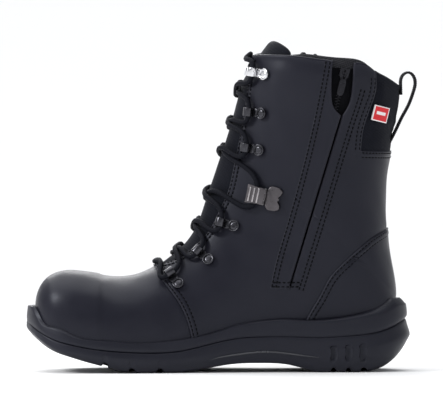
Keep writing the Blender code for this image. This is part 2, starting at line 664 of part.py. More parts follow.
def make_sole():
    outsole = ring_solid("outsole", "outsole", [
        sole_ring(4.5, tread_bottom, toe=4.0, heel=4.0),
        sole_ring(1.2, between(tread_bottom, BULGE_AT, 0.45), toe=1.0, heel=0.6),
        sole_ring(0.0, BULGE_AT),
        sole_ring(0.8, raised(BAND_AT, -0.8)),
        sole_ring(2.4, raised(BAND_AT, 0.0)),
        sole_ring(3.6, raised(BAND_AT, -3.0)),
        sole_ring(6.5, outsole_floor),
    ])
    for i, x in enumerate(TREAD_CUTS):
        z = float(tread_bottom(x))
        outline = [(x - TREAD_GROOVE / 2, z - 4), (x - TREAD_GROOVE / 2, z + TREAD_DEPTH),
                   (x + TREAD_GROOVE / 2, z + TREAD_DEPTH), (x + TREAD_GROOVE / 2, z - 4)]
        boolean(outsole, prism(f"tread_groove_{i}", outline, -90.0, 90.0), "DIFFERENCE")
    midsole = ring_solid("midsole", "sole", [
        sole_ring(7.1, raised(outsole_floor, GAP + 0.1)),
        sole_ring(4.1, raised(BAND_AT, GAP - 3.0)),
        sole_ring(2.4, raised(BAND_AT, GAP + 0.2)),
        sole_ring(1.8, raised(BAND_AT, 1.6)),
        sole_ring(1.6, between(BAND_AT, LIP_AT, 0.6)),
        sole_ring(2.2, LIP_AT),
        sole_ring(9.0, raised(LIP_AT, -1.0), toe=3.0, heel=3.0),
    ])
    last = volume_mesh(-GAP, 5.0)
    boolean(midsole, cutter("last_room", last), "DIFFERENCE", LAYER_SOLVER)
    boolean(midsole, sole_plate_cutter(), "DIFFERENCE", LAYER_SOLVER)


def feather_section(u):
    feather, _, width, closing, square, middle = section(u)
    half = width * np.sqrt(np.maximum(1 - np.abs(closing) ** square, 0))
    return feather, half, middle


def plate_mesh(top, bottom, inset, start, end, half_limit=99.0):
    """A curved plate under the foot: between two depths below the feather edge, from x = start to x = end."""
    u = np.linspace(0.0, HEEL_KNOT, 60)
    feather, half, middle = feather_section(u)
    rows = np.array([start, *np.arange(-130.0, 130.0, 10.0), end])
    rows = rows[(rows >= start) & (rows <= end)]
    z = np.interp(rows, feather[2:, 0], feather[2:, 1])
    inside = np.interp(rows, feather[:, 0], half) - inset
    middle = np.interp(rows, feather[:, 0], middle)
    ends = np.clip(np.minimum(rows - rows[0] + 2.0, rows[-1] + 2.0 - rows) / 14.0, 0, 1)
    inside = np.minimum(np.minimum(inside, half_limit), half_limit * np.sqrt(ends * (2 - ends)))
    bm = bmesh.new()
    rings = []
    for x, y, w, height in zip(rows, middle, np.maximum(inside, 2.0), z):
        corners = [(x, y - w, height - top), (x, y + w, height - top), (x, y + w, height - bottom),
                   (x, y - w, height - bottom)]
        rings.append([bm.verts.new(scene_point(c)) for c in corners])
    for low, high in zip(rings, rings[1:]):
        for i in range(4):
            bm.faces.new([low[i], low[(i + 1) % 4], high[(i + 1) % 4], high[i]])
    bm.faces.new(rings[0][::-1])
    bm.faces.new(rings[-1])
    return bm


def sole_plate_cutter():
    return cutter("shank_room",
                  plate_mesh(4.0, SHANK[1] + GAP, 4.0, SHANK_SPAN[0] - 1, SHANK_SPAN[1] + 1, SHANK_HALF + 1))


def make_sole_inside():
    mesh_object("insole_board", plate_mesh(*INSOLE_BOARD, 1.4, -137.0, 131.0, 60.0), "board", PARTS)
    mesh_object("puncture_plate", plate_mesh(*PUNCTURE_PLATE, 3.0, -128.0, 130.0, 60.0), "steel", PARTS)
    mesh_object("shank", plate_mesh(*SHANK, 5.0, *SHANK_SPAN, SHANK_HALF), "steel", PARTS)
    mesh_object("footbed", plate_mesh(*FOOTBED, 11.2, -129.0, 123.0, 60.0), "lining", PARTS)


# ================================================================ the zip


def zip_frame():
    """(bottom, across, up, out) of the zip's straight line on the inner side; across points to the heel."""
    top, normal_top = on_surface(*ZIP_TOP, -1)
    bottom, normal_bottom = on_surface(*ZIP_BOTTOM, -1)
    up = (top - bottom).normalized()
    out = (normal_top + normal_bottom).normalized()
    out = (out - up * out.dot(up)).normalized()
    return bottom, up.cross(out), up, out


def zip_length():
    return (on_surface(*ZIP_TOP, -1)[0] - on_surface(*ZIP_BOTTOM, -1)[0]).length


def zip_point(across, up, out=0.0):
    bottom, x, y, z = zip_frame()
    return bottom + x * across + y * up + z * out


def zip_matrix(up=0.0):
    bottom, x, y, z = zip_frame()
    return frame_matrix(bottom + y * up, x, y, z)


def frame_matrix(origin, x, y, z):
    """The matrix from local millimetres to the scene's metres."""
    turn = Matrix((x, y, z)).transposed().to_4x4()
    return Matrix.Translation(Vector(scene_point(origin))) @ turn @ Matrix.Scale(MM, 4)


def box_mesh(low, high, matrix):
    bm = bmesh.new()
    size = Vector(high) - Vector(low)
    middle = (Vector(high) + Vector(low)) / 2
    bmesh.ops.create_cube(bm, size=1.0,
                          matrix=matrix @ Matrix.Translation(middle) @ Matrix.Diagonal((*size, 1.0)))
    return bm


def extruded_mesh(outline, low, high, matrix):
    """The local (x, z) outline extruded along Y from low to high."""
    bm = bmesh.new()
    near = [bm.verts.new(matrix @ Vector((x, low, z))) for x, z in outline]
    far = [bm.verts.new(matrix @ Vector((x, high, z))) for x, z in outline]
    bm.faces.new(near)
    bm.faces.new(far[::-1])
    for i in range(len(near)):
        j = (i + 1) % len(near)
        bm.faces.new([near[i], near[j], far[j], far[i]])
    return bm


def rod_mesh(radius, low, high, centre, axis, matrix, sides=12, top_radius=None):
    """A rod along local axis X, Y or Z from low to high, with its line through centre."""
    bm = bmesh.new()
    turn = {"X": Matrix.Rotation(math.pi / 2, 4, "Y"), "Y": Matrix.Rotation(-math.pi / 2, 4, "X"),
            "Z": Matrix()}[axis]
    place = Vector(centre)
    place["XYZ".index(axis)] = (low + high) / 2
    bmesh.ops.create_cone(bm, cap_ends=True, segments=sides, radius1=radius, radius2=top_radius or radius,
                          depth=high - low, matrix=matrix @ Matrix.Translation(place) @ turn)
    return bm


def assemble(name, kind, pieces, holes=()):
    """One object from overlapping closed meshes, joined, with the holes cut out."""
    made = mesh_object(name, pieces[0], kind, PARTS)
    for i, piece in enumerate(pieces[1:]):
        boolean(made, cutter(f"{name}_joined_{i}", piece), "UNION")
    for i, hole in enumerate(holes):
        boolean(made, cutter(f"{name}_hole_{i}", hole), "DIFFERENCE")
    return made


def set_origin(piece, point):
    """Moves the object's origin to point, in metres, and leaves its shape where it is."""
    piece.data.transform(Matrix.Translation(-point))
    piece.location = point


def make_zip_room():
    """The cutters that give the slider and the tapes their way through the leather and the lining."""
    matrix = zip_matrix()
    length = zip_length()
    half = SLIDER_HALF + 0.4
    room = assemble_cutter("zip_channel", [
        box_mesh((-half, -9.0, -5.0), (half, length + 12.0, -1.7), matrix),
        box_mesh((-SLOT_HALF, -3.0, -5.0), (SLOT_HALF, length + 12.0, 8.0), matrix),
    ])
    behind = cutter("zip_room", box_mesh((-15.5, -12.0, -5.2), (15.5, length + 12.0, 2.0), matrix))
    return room, behind


def assemble_cutter(name, pieces):
    made = cutter(name, pieces[0])
    for i, piece in enumerate(pieces[1:]):
        boolean(made, cutter(f"{name}_joined_{i}", piece), "UNION")
    return made


def make_zip():
    matrix = zip_matrix()
    length = zip_length()
    mesh_object("zip_chain", box_mesh((-2.6, -2.0, -4.0), (2.6, length - 2.0, -3.2), matrix), "gunmetal",
                PARTS)
    mesh_object("zip_tape_front", box_mesh((-9.5, -6.0, -4.9), (-0.2, length - 1.0, -4.3), matrix), "textile",
                PARTS)
    mesh_object("zip_tape_rear", box_mesh((0.2, -6.0, -4.9), (9.5, length - 1.0, -4.3), matrix), "textile",
                PARTS)
    mesh_object("zip_bottom_stop", box_mesh((-2.9, -5.0, -4.0), (2.9, -2.3, -2.9), matrix), "gunmetal", PARTS)
    here = zip_matrix(length - SLIDER_REST)
    half = SLIDER_HALF
    saddle = [(-half, -3.9), (-half, -2.1), (half, -2.1), (half, -3.9), (half - 0.8, -3.9),
              (half - 0.8, -2.9),
              (0.8 - half, -2.9), (0.8 - half, -3.9)]
    slider = assemble("zip_slider", "gunmetal", [
        extruded_mesh(saddle, -4.6, 4.6, here),
        box_mesh((-0.6, -2.6, -2.5), (0.6, 2.6, PULLER_PIN_OUT + 1.9), here),
    ], [rod_mesh(1.05, -2.0, 2.0, (0, 0, PULLER_PIN_OUT), "X", here)])
    puller = assemble("zip_puller", "gunmetal", [
        box_mesh((-2.6, -18.0, PULLER_PIN_OUT - 0.6), (2.6, -4.6, PULLER_PIN_OUT + 0.6), here),
        box_mesh((-2.0, -5.2, PULLER_PIN_OUT - 0.5), (-1.0, 0.8, PULLER_PIN_OUT + 0.5), here),
        box_mesh((1.0, -5.2, PULLER_PIN_OUT - 0.5), (2.0, 0.8, PULLER_PIN_OUT + 0.5), here),
        rod_mesh(0.65, -1.7, 1.7, (0, 0, PULLER_PIN_OUT), "X", here, sides=10),
    ])
    pin = here @ Vector((0, 0, PULLER_PIN_OUT))
    set_origin(puller, pin)
    return slider


# ================================================================ lace loops, locks and the lace


def hardware_frame(behind, ahead, side, at=0.5):
    """The local frame of a fitting: origin on the leather, X towards the facing, Z out of the leather."""
    middle = (behind[0] + (ahead[0] - behind[0]) * at, behind[1] + (ahead[1] - behind[1]) * at)
    origin, out = on_surface(*middle, side)
    reach = on_surface(*ahead, side)[0] - on_surface(*behind, side)[0]
    x = (reach - out * reach.dot(out)).normalized()
    return origin, x, out.cross(x), out


def strip_mesh(path, thickness, half_width, matrix):
    """A bent strip: the (x, z) path given thickness and width along local Y."""
    bm = bmesh.new()
    left, right = shifted(path, thickness / 2), shifted(path, -thickness / 2)
    rings = []
    for a, b in zip(left, right):
        corners = [(a[0], -half_width, a[1]), (a[0], half_width, a[1]), (b[0], half_width, b[1]),
                   (b[0], -half_width, b[1])]
        rings.append([bm.verts.new(matrix @ Vector(c)) for c in corners])
    for low, high in zip(rings, rings[1:]):
        for i in range(4):
            bm.faces.new([low[i], low[(i + 1) % 4], high[(i + 1) % 4], high[i]])
    bm.faces.new(rings[0][::-1])
    bm.faces.new(rings[-1])
    return bm


def loop_path():
    """The strap under the rivet, then forward and round the eye."""
    radius = EYE_INNER + LOOP_STRAP / 2
    turns = np.radians(np.linspace(-90, 205, 11))
    eye = [(EYE_AHEAD + radius * math.cos(a), EYE_HEIGHT + radius * math.sin(a)) for a in turns]
    return np.array([(-RIVET_BEHIND - 4.2, EYE_HEIGHT - radius), (0.0, EYE_HEIGHT - radius), *eye])


def make_loops():
    for side, word in ((-1, "medial"), (1, "lateral")):
        for i, (rivet, eye) in enumerate(LOOPS, start=1):
            matrix = frame_matrix(*hardware_frame(rivet, eye, side))
            kind = "silver" if i == len(LOOPS) else "gunmetal"
            bm = strip_mesh(loop_path(), LOOP_STRAP, LOOP_WIDTH / 2, matrix)
            mesh_object(f"lace_loop_{word}_{i}", bm, kind, PARTS)
            base = EYE_HEIGHT - EYE_INNER + GAP
            place = (-RIVET_BEHIND, 0, 0)
            head = rod_mesh(RIVET_RADIUS, base, base + RIVET_THICK, place, "Z", matrix, 14,
                            RIVET_RADIUS * 0.72)
            mesh_object(f"loop_rivet_{word}_{i}", head, kind, PARTS)


def dog_bone(matrix):
    """The lock's back plate: two lobes with a waist, from beside the pin backwards."""
    outline = [(-1.6, -8.6), (-1.6, 8.6), (-5.0, 9.5), (-10.5, 9.3), (-13.6, 7.4), (-12.6, 3.2), (-10.8, 0.0),
               (-12.6, -3.2), (-13.6, -7.4), (-10.5, -9.3), (-5.0, -9.5)]
    bm = bmesh.new()
    low = [bm.verts.new(matrix @ Vector((x, y, 0.5))) for x, y in outline]
    high = [bm.verts.new(matrix @ Vector((x, y, 1.9))) for x, y in outline]
    for i in range(len(outline)):
        j = (i + 1) % len(outline)
        bm.faces.new([low[i], low[j], high[j], high[i]])
    bm.faces.new(low[::-1])
    bm.faces.new(high)
    return bm


def make_locks():
    for side, word in ((-1, "medial"), (1, "lateral")):
        origin, x, y, z = hardware_frame(LOCK_PIN, LOCK_AHEAD, side, at=0.0)
        matrix = frame_matrix(origin, x, y, z)
        axis = LOCK_AXIS_HEIGHT
        ears = []
        for low in (-6.2, 3.2):
            ears.append(box_mesh((-1.9, low, 0.6), (1.9, low + 3.0, axis), matrix))
            ears.append(rod_mesh(1.9, low, low + 3.0, (0, 0, axis), "Y", matrix))
        bed = box_mesh((-3.0, -5.2, 0.5), (13.4, 5.2, 1.3), matrix)
        bore = rod_mesh(1.2, -9.0, 9.0, (0, 0, axis), "Y", matrix)
        assemble(f"lock_plate_{word}", "bronze", [dog_bone(matrix), bed, *ears], [bore])
        top = axis + 1.5
        ribs = [box_mesh((3.2 + 3.6 * i, -6.0, top + 0.6), (4.8 + 3.6 * i, 6.0, top + 1.9),
                         matrix) for i in range(3)]
        clamp = assemble(f"lock_clamp_{word}", "bronze", [
            box_mesh((2.4, -7.0, top), (13.6, 7.0, top + 1.2), matrix),
            box_mesh((-1.2, -2.8, axis), (3.4, 2.8, top + 1.2), matrix),
            rod_mesh(1.9, -2.8, 2.8, (0, 0, axis), "Y", matrix),
            *ribs,
        ], [rod_mesh(1.2, -9.0, 9.0, (0, 0, axis), "Y", matrix)])
        mesh_object(f"lock_pin_{word}", rod_mesh(0.85, -6.5, 6.5, (0, 0, axis), "Y", matrix, sides=10),
                    "steel", PARTS)
        set_origin(clamp, matrix @ Vector((0, 0, axis)))


def eye_points(index, side):
    """(below, above) the eye that the lace passes through; index 3 is the lock."""
    if index == 3:
        origin, x, y, z = hardware_frame(LOCK_PIN, LOCK_AHEAD, side, at=0.0)
        centre = origin + x * LOCK_LACE_AHEAD + z * LOCK_LACE_HEIGHT
    else:
        rivet, eye = LOOPS[index - (index > 3)]
        origin, x, y, z = hardware_frame(rivet, eye, side)
        centre = origin + x * EYE_AHEAD + z * EYE_HEIGHT
    up = y if y.z > 0 else -y
    reach = {0: 7.4, 3: 8.6}.get(index, 6.4)
    return centre - up * reach, centre + up * reach


def eye_place(index, side):
    x, z = LOCK_AHEAD if index == 3 else LOOPS[index - (index > 3)][1]
    return np.array(locate(x, z, side))


def ridge_knot(z):
    """The section whose ridge point is at height z, above the throat."""
    u = np.linspace(KNOTS[6], LAST, 400)
    return float(np.interp(z, RIDGE_AT(u)[:, 1], u))


def over_tongue(start, end, z, heights):
    """Points of a strand between two places (u, s), crossing the ridge at height z."""
    middle = np.array([ridge_knot(z), 0.0])
    points = []
    for (u, s), height in zip(((start + middle) / 2, middle, (middle + end) / 2), heights):
        points.append(Vector(surface(u, s)) + Vector(normals(u, s)) * height)
    return points


def strand(first_side):
    """The lace from the bottom loop on first_side, crossing at each step, up to a top loop."""
    points = []
    side = first_side
    for index in range(7):
        below, above = eye_points(index, side)
        points += [below, above]
        if index < 6:
            high = (index % 2 == 0) == (first_side < 0)
            heights = (5.2, 3.9, 5.2) if high else (3.7, -0.2, 3.7)
            start, end = eye_place(index, side), eye_place(index + 1, -side)
            points += over_tongue(start, end, LACE_CROSSINGS[index], heights)
            side = -side
    return points


def tail(x, steps):
    """Over the outer side's collar at x and down inside the shaft."""
    top = float(Smooth(*zip(*COLLAR))(x))
    wall, out = on_surface(x, top - 2.0, 1)
    out.z = 0
    out.normalize()
    turn = [wall + out * (-3.5 + 6.4 * math.cos(a)) + Vector((0, 0, 1.2 + 6.4 * math.sin(a)))
            for a in np.radians([0, 45, 90, 135, 180])]
    return turn + [turn[-1] + Vector((0, 0, -12.0 * i)) - out * (2.6 * i) for i in range(1, steps + 1)]


def lace_points():
    """The whole lace: a tail, down one strand, across the bottom, up the other, and the second tail."""
    bar = over_tongue(eye_place(0, 1), eye_place(0, -1), 84.5, (3.4, 3.2, 3.4))
    inner, outer = strand(-1), strand(1)
    across = over_tongue(eye_place(6, -1) + [6, 0], eye_place(6, 1) + [6, 0.04], 252.0, (4.2, 4.2, 4.2))
    first = tail(76.0, 3)[::-1]
    second = tail(66.0, 3)
    lower = outside_points([(60.0, 242.5), (48.0, 243.5), (36.5, 243.8)], 3.2)
    upper = outside_points([(33.0, 249.5), (43.0, 250.0), (54.0, 249.0)], 3.2)
    return first + lower + outer[::-1] + bar + inner + across + upper + second


def outside_points(places, height):
    """Points on the outer side, height above the leather, at side-view places."""
    found = [on_surface(*place, 1) for place in places]
    return [point + out * height for point, out in found]


def tube(name, kind, points, radius):
    """A round cord through the points."""
    curve = bpy.data.curves.new(name, "CURVE")
    curve.dimensions = "3D"
    curve.bevel_depth = radius * MM
    curve.bevel_resolution = 1
    curve.use_fill_caps = True
    line = curve.splines.new("POLY")
    line.points.add(len(points) - 1)
    for target, p in zip(line.points, points):
        target.co = (*scene_point(p), 1.0)
    made = bpy.data.objects.new(name, curve)
    curve.materials.append(paint(kind))
    PARTS.objects.link(made)
    return made


def make_pull_loop():
    path = smooth_path(PULL_PATH, 22)
    matrix = Matrix.Translation(Vector(scene_point((0, float(swing(40.0)), 0)))) @ Matrix.Scale(MM, 4)
    mesh_object("pull_loop", strip_mesh(path, PULL_THICK, PULL_WIDTH / 2, matrix), "textile", PARTS)


clear_scene()
PARTS = new_collection("fire_boot")
CUTTERS = new_collection("cutters")
ZIP_CHANNEL, ZIP_ROOM = make_zip_room()
make_upper()
make_tongue()
make_sole()
make_sole_inside()
make_zip()
make_loops()
make_locks()
tube("lace", "lace", lace_points(), LACE_RADIUS)
make_pull_loop()
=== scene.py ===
"""The look of a right-foot fire station boot: leather, sole, zip, lacing, floor, light and camera.

Lengths are millimetres until scene_point turns them into the scene's metres. The toe points to -X, the inner
(zip) side faces -Y, and the boot stands on Z = 0. Every panel lies on one surface: a fan of sections, each
running from the inner feather edge (s = -1) over the front ridge (s = 0) to the outer feather edge (s = 1).
"""

import math

import bmesh
import bpy
import numpy as np
from mathutils import Matrix, Vector
from mathutils.geometry import delaunay_2d_cdt


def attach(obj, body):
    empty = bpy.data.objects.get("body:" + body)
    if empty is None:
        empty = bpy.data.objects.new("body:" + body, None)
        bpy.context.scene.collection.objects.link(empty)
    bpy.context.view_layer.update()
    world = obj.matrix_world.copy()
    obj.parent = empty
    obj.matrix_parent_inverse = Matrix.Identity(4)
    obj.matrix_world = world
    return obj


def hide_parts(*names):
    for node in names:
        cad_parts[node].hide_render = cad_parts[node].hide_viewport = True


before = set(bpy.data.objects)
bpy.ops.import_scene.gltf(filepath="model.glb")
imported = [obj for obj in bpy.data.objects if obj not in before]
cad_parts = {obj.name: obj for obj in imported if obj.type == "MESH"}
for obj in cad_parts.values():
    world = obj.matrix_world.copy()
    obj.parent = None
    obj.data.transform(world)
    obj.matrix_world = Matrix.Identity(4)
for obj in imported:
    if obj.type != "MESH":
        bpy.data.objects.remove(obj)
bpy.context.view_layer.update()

MM = 0.001
LINE_STEP = 1.5
SIDES = ((-1, "medial"), (1, "lateral"))

# ---------------------------------------------------------------- the upper's surface, as in the solid model
# B (x, z) on the feather edge or back line, F (x, z) on the ridge, half-width, closing under, squareness.
STATIONS = [
    ((-148.0, 46.0), (-148.0, 46.0), 0.0, -0.05, 2.7),
    ((-143.5, 35.5), (-146.5, 62.0), 23.0, -0.08, 2.7),
    ((-136.5, 31.5), (-139.0, 73.5), 33.0, -0.10, 2.7),
    ((-124.5, 27.0), (-125.0, 79.6), 41.0, -0.12, 2.7),
    ((-106.0, 22.8), (-106.0, 78.6), 46.5, -0.12, 2.6),
    ((-85.0, 20.4), (-83.0, 75.4), 49.0, -0.14, 2.4),
    ((-62.0, 19.4), (-61.5, 79.5), 49.0, -0.18, 2.2),
    ((-37.0, 20.4), (-44.5, 89.5), 46.0, -0.24, 2.0),
    ((-9.0, 26.0), (-30.5, 101.5), 42.5, -0.32, 1.95),
    ((21.0, 33.8), (-21.5, 114.5), 40.0, -0.40, 1.95),
    ((55.0, 37.0), (-16.0, 129.0), 39.2, -0.48, 2.0),
    ((88.0, 37.6), (-11.5, 143.0), 39.8, -0.54, 2.1),
    ((114.0, 41.4), (-7.0, 156.0), 40.4, -0.65, 2.15),
    ((129.0, 47.5), (-3.0, 168.0), 41.3, -0.80, 2.2),
    ((136.6, 53.0), (0.8, 179.0), 41.9, -0.93, 2.2),
    ((139.0, 59.0), (4.0, 189.0), 42.5, -1.0, 2.2),
    ((135.8, 84.0), (7.8, 202.0), 43.7, -1.0, 2.2),
    ((131.8, 112.0), (11.5, 216.0), 44.9, -1.0, 2.2),
    ((131.2, 145.0), (15.6, 231.0), 46.5, -1.0, 2.2),
    ((135.2, 176.0), (19.2, 244.0), 48.2, -1.0, 2.2),
    ((139.6, 206.0), (22.6, 256.0), 49.8, -1.0, 2.2),
    ((143.5, 238.0), (26.0, 268.0), 51.0, -1.0, 2.2),
]
SWING = [(-150, -7.5), (-120, -4.5), (-85, -1.0), (-50, 1.5), (-20, 1.5), (15, 0.5), (40, 0.0)]
ORIGIN = (0.0, 0.575)

# ---------------------------------------------------------------- side-view lines, (x, z)
FACING = [(-54.0, 84.0), (-44.0, 86.5), (-22.0, 99.8), (-11.5, 110.9), (-3.6, 126.0), (3.5, 141.0),
          (8.3, 160.2), (13.9, 188.0), (18.7, 217.4), (24.5, 250.3)]
VAMP_SEAM = [(-54.0, 84.0), (-47.3, 72.7), (-33.8, 53.7), (-29.0, 43.3), (-25.0, 29.0), (-22.0, 10.0)]
COUNTER_SEAM = [(146.0, 115.0), (130.0, 112.0), (117.7, 105.3), (105.3, 95.4), (93.0, 84.4), (84.3, 74.5),
                (76.0, 59.0), (68.4, 46.1), (62.0, 30.0)]
COLLAR = [(24.5, 250.3), (56.0, 249.4), (86.8, 245.6), (105.3, 244.2), (113.0, 242.4), (121.2, 236.5),
          (130.0, 232.0), (141.5, 225.4), (150.0, 221.0)]
LEATHER_END, FABRIC_SPAN = 121.5, (121.3, 142.4)
ZIP_GAP, PADDING_START = (86.5, 104.6), 46.0
FLEX_EDGE = [(121.2, 236.5), (120.1, 221.4), (116.4, 209.1), (112.7, 196.8), (110.3, 184.4), (109.6, 175.0)]
FLEX_BOTTOM = 174.0
RIBBED_TOP = 194.0
FLAP_FRONT = [(84.0, 260.0), (74.0, 203.0), (63.5, 158.0), (51.5, 114.0), (44.0, 88.0), (39.3, 67.0)]
ZIP_WINDOW_BOTTOM = 67.0
ZIP_TOP, ZIP_BOTTOM = (97.6, 243.0), (53.6, 70.5)
TONGUE_EDGE = [(-57.0, 84.0), (-38.0, 86.0), (-9.0, 101.0), (4.0, 122.0), (15.0, 150.0), (25.0, 190.0),
               (32.0, 220.0), (44.0, 243.0), (60.0, 256.0)]
TONGUE_ROOM = [(-50.0, 72.0), (-43.0, 78.0), (-30.0, 86.0), (-7.0, 101.0), (7.0, 122.0), (18.0, 150.0),
               (30.0, 190.0), (40.0, 220.0), (57.0, 243.0), (70.0, 258.0)]
TONGUE = (3.4, 5.5)
TONGUE_LEAN_FROM, TONGUE_LEAN = 228.0, 13.0
LINING_DEPTH = 5.7
FOOTBED, FOOTBED_SPAN, FOOTBED_INSET = (0.4, 4.6), (-129.0, 123.0), 11.2

# ---------------------------------------------------------------- the sole
SOLE_MIDDLE, SOLE_HALF = -3.4, 151.6
SOLE_SPREAD = [(0, 84.0), (15, 84.5), (30, 82.0), (45, 70.5), (60, 61.5), (75, 52.8), (90, 44.6), (105, 41.4),
               (120, 46.4), (135, 56.8), (150, 67.5), (165, 73.0), (180, 74.0)]
TREAD_BOTTOM = [(-152, 30.0), (-137, 18.7), (-121, 12.7), (-109, 9.1), (-93, 4.8), (-81.5, 1.6), (-66, 0.0),
                (-38, 0.0), (-18, 2.4), (6, 6.4), (31, 7.3), (54, 5.6), (66, 2.4), (76, 0.0), (113, 0.0),
                (129, 5.0), (139, 12.0), (149, 22.0)]
SOLE_BULGE = [(-156, 37.0), (-140, 24.5), (-115, 16.5), (-90, 12.5), (-60, 10.5), (-20, 12.5), (10, 17.5),
              (40, 18.5), (75, 17.0), (110, 18.5), (130, 22.0), (149, 29.0)]
BAND_LINE = [(-156, 41.0), (-140, 29.5), (-120, 22.5), (-108, 20.0), (-88, 17.4), (-63.7, 16.1),
             (-33.8, 17.3), (-9, 22.9), (15, 27.4), (31, 28.2), (56, 28.2), (77.5, 27.6), (100, 29.0),
             (119.6, 31.3), (132.8, 35.2), (146, 42.0)]
LIP_TOP = [(-153, 54.5), (-149, 50.0), (-144, 40.5), (-136.7, 36.7), (-120.4, 30.2), (-96, 26.2),
           (-71.8, 24.2), (-47.4, 24.6), (-25.4, 27.4), (-9, 31.0), (15, 38.3), (31.4, 40.8), (47.6, 42.0),
           (72, 41.2), (106.4, 44.4), (122.8, 48.4), (136, 55.0), (142, 59.6)]
ARCH_RIDGE = [(-9.6, 10.2), (-7.6, 10.9), (3.0, 13.2), (14.0, 14.7), (33.8, 16.4), (53.7, 14.7), (73.5, 12.1),
              (76.0, 11.8)]
TREAD_DEPTH, TREAD_GROOVE, GROOVE_WALL = 3.4, 4.6, 0.45
SOLE_SHRINK = 48.0
TREAD_CUTS = [-93.0, -72.0, -49.5, 87.6, 99.4, 111.2]
HEEL_SLOTS = [(87.6, 9.3, 21.0), (99.4, 9.3, 21.6), (111.2, 9.3, 22.4)]
FORE_SLOTS = [(-93.0, 8.6, 13.4), (-72.0, 4.6, 10.4), (-49.5, 4.0, 9.6)]

# ---------------------------------------------------------------- hardware
LOOPS = [((-34.2, 68.9), (-41.7, 77.5)), ((-10.1, 88.2), (-19.5, 95.3)), ((9.9, 115.3), (-1.2, 117.7)),
         ((30.8, 175.1), (18.3, 177.7)), ((33.0, 204.2), (20.7, 205.5)), ((35.8, 234.8), (23.9, 236.9))]
LOOP_STRAP, LOOP_WIDTH = 1.0, 7.0
EYE_INNER, EYE_HEIGHT, EYE_AHEAD = 2.7, 4.2, 5.6
RIVET_BEHIND = 5.6
LOCK_PIN, LOCK_AHEAD = (33.5, 138.7), (26.6, 140.3)
LOCK_LACE_AHEAD, LOCK_LACE_HEIGHT, LOCK_AXIS_HEIGHT = 7.6, 3.5, 4.4
LACE_RADIUS = 1.8
LACE_CROSSINGS = [97.5, 118.0, 142.0, 177.0, 197.5, 223.5]
SLIDER_REST, SLIDER_HALF, PULLER_PIN_OUT = 7.0, 3.9, 1.8
PULL_WIDTH, PULL_THICK = 20.0, 1.8
PULL_PATH = [(142.6, 219.0), (142.4, 226.0), (143.0, 232.6), (145.8, 236.0), (149.4, 236.6), (152.6, 233.9),
             (154.0, 229.4), (152.4, 220.9), (148.4, 210.3), (143.6, 201.5), (140.0, 194.0), (136.6, 187.0),
             (133.4, 181.0)]
LABEL_CENTRE, LABEL_SIZE, LABEL_TILT = (123.8, 204.2), 12.3, -14.0

# ================================================================ curves and the surface


def natural_spline(knots, values):
    """Second derivatives of the natural cubic spline through values at knots."""
    n = len(knots)
    step = np.diff(knots)
    matrix = np.eye(n)
    right = np.zeros((n,) + values.shape[1:])
    slope = (np.diff(values, axis=0).T / step).T
    for i in range(1, n - 1):
        matrix[i, i - 1 : i + 2] = step[i - 1], 2 * (step[i - 1] + step[i]), step[i]
        right[i] = 6 * (slope[i] - slope[i - 1])
    return np.linalg.solve(matrix, right)


class Smooth:
    """A smooth curve through (knot, value) pairs; a value may be a number or a point."""

    def __init__(self, knots, values):
        self.knots = np.asarray(knots, float)
        self.values = np.asarray(values, float)
        self.bend = natural_spline(self.knots, self.values)

    def __call__(self, at):
        at = np.asarray(at, float)
        i = np.clip(np.searchsorted(self.knots, at) - 1, 0, len(self.knots) - 2)
        step = self.knots[i + 1] - self.knots[i]
        b = (at - self.knots[i]) / step
        a = 1 - b
        if self.values.ndim > 1:
            a, b, step = a[..., None], b[..., None], step[..., None]
        cubic = ((a**3 - a) * self.bend[i] + (b**3 - b) * self.bend[i + 1]) * step**2 / 6
        return a * self.values[i] + b * self.values[i + 1] + cubic


def along(points):
    """Distance from the first point to each point, along straight lines."""
    points = np.asarray(points, float)
    return np.concatenate([[0.0], np.cumsum(np.linalg.norm(np.diff(points, axis=0), axis=1))])


def unit(vectors):
    """Each vector made one long."""
    return vectors / np.maximum(np.linalg.norm(vectors, axis=-1, keepdims=True), 1e-9)


def heading(path):
    """Unit vectors along a path, one at each of its points."""
    return unit(np.gradient(path, axis=0))


def smooth_path(points, count):
    """Evenly spread points on the smooth curve through points."""
    reach = along(points)
    return Smooth(reach, points)(np.linspace(0, reach[-1], count))


def through(pairs):
    """The smooth curve through (x, value) pairs."""
    xs, values = zip(*pairs)
    return Smooth(xs, values)


FEATHER = np.array([s[0] for s in STATIONS])
RIDGE = np.array([s[1] for s in STATIONS])
KNOTS = (along(FEATHER) + along(RIDGE)) / 2
LAST = KNOTS[-1]
FEATHER_AT, RIDGE_AT = Smooth(KNOTS, FEATHER), Smooth(KNOTS, RIDGE)
WIDTH2_AT = Smooth(KNOTS, [s[2] ** 2 for s in STATIONS])
CLOSING_AT = Smooth(KNOTS, [s[3] for s in STATIONS])
SQUARE_AT = Smooth(KNOTS, [s[4] for s in STATIONS])
SWING_AT = through(SWING)
HEEL_KNOT = KNOTS[[s[3] for s in STATIONS].index(-1.0)]
COLLAR_AT = through(COLLAR)


def swing(x):
    """How far the boot's middle line lies from Y = 0 at x."""
    return SWING_AT(np.clip(x, SWING[0][0], SWING[-1][0]))


def collar_height(x):
    """The height of the leather's top edge at x."""
    return COLLAR_AT(np.clip(x, COLLAR[0][0], COLLAR[-1][0]))


def section(u):
    """Feather point, ridge point, half-width, closing, squareness and middle of section u."""
    closing = np.where(u >= HEEL_KNOT, -1.0, np.clip(CLOSING_AT(u), -1.0, 0.0))
    ridge = RIDGE_AT(u)
    width = np.sqrt(np.maximum(WIDTH2_AT(u), 0.0))
    return FEATHER_AT(u), ridge, width, closing, SQUARE_AT(u), swing(ridge[..., 0])


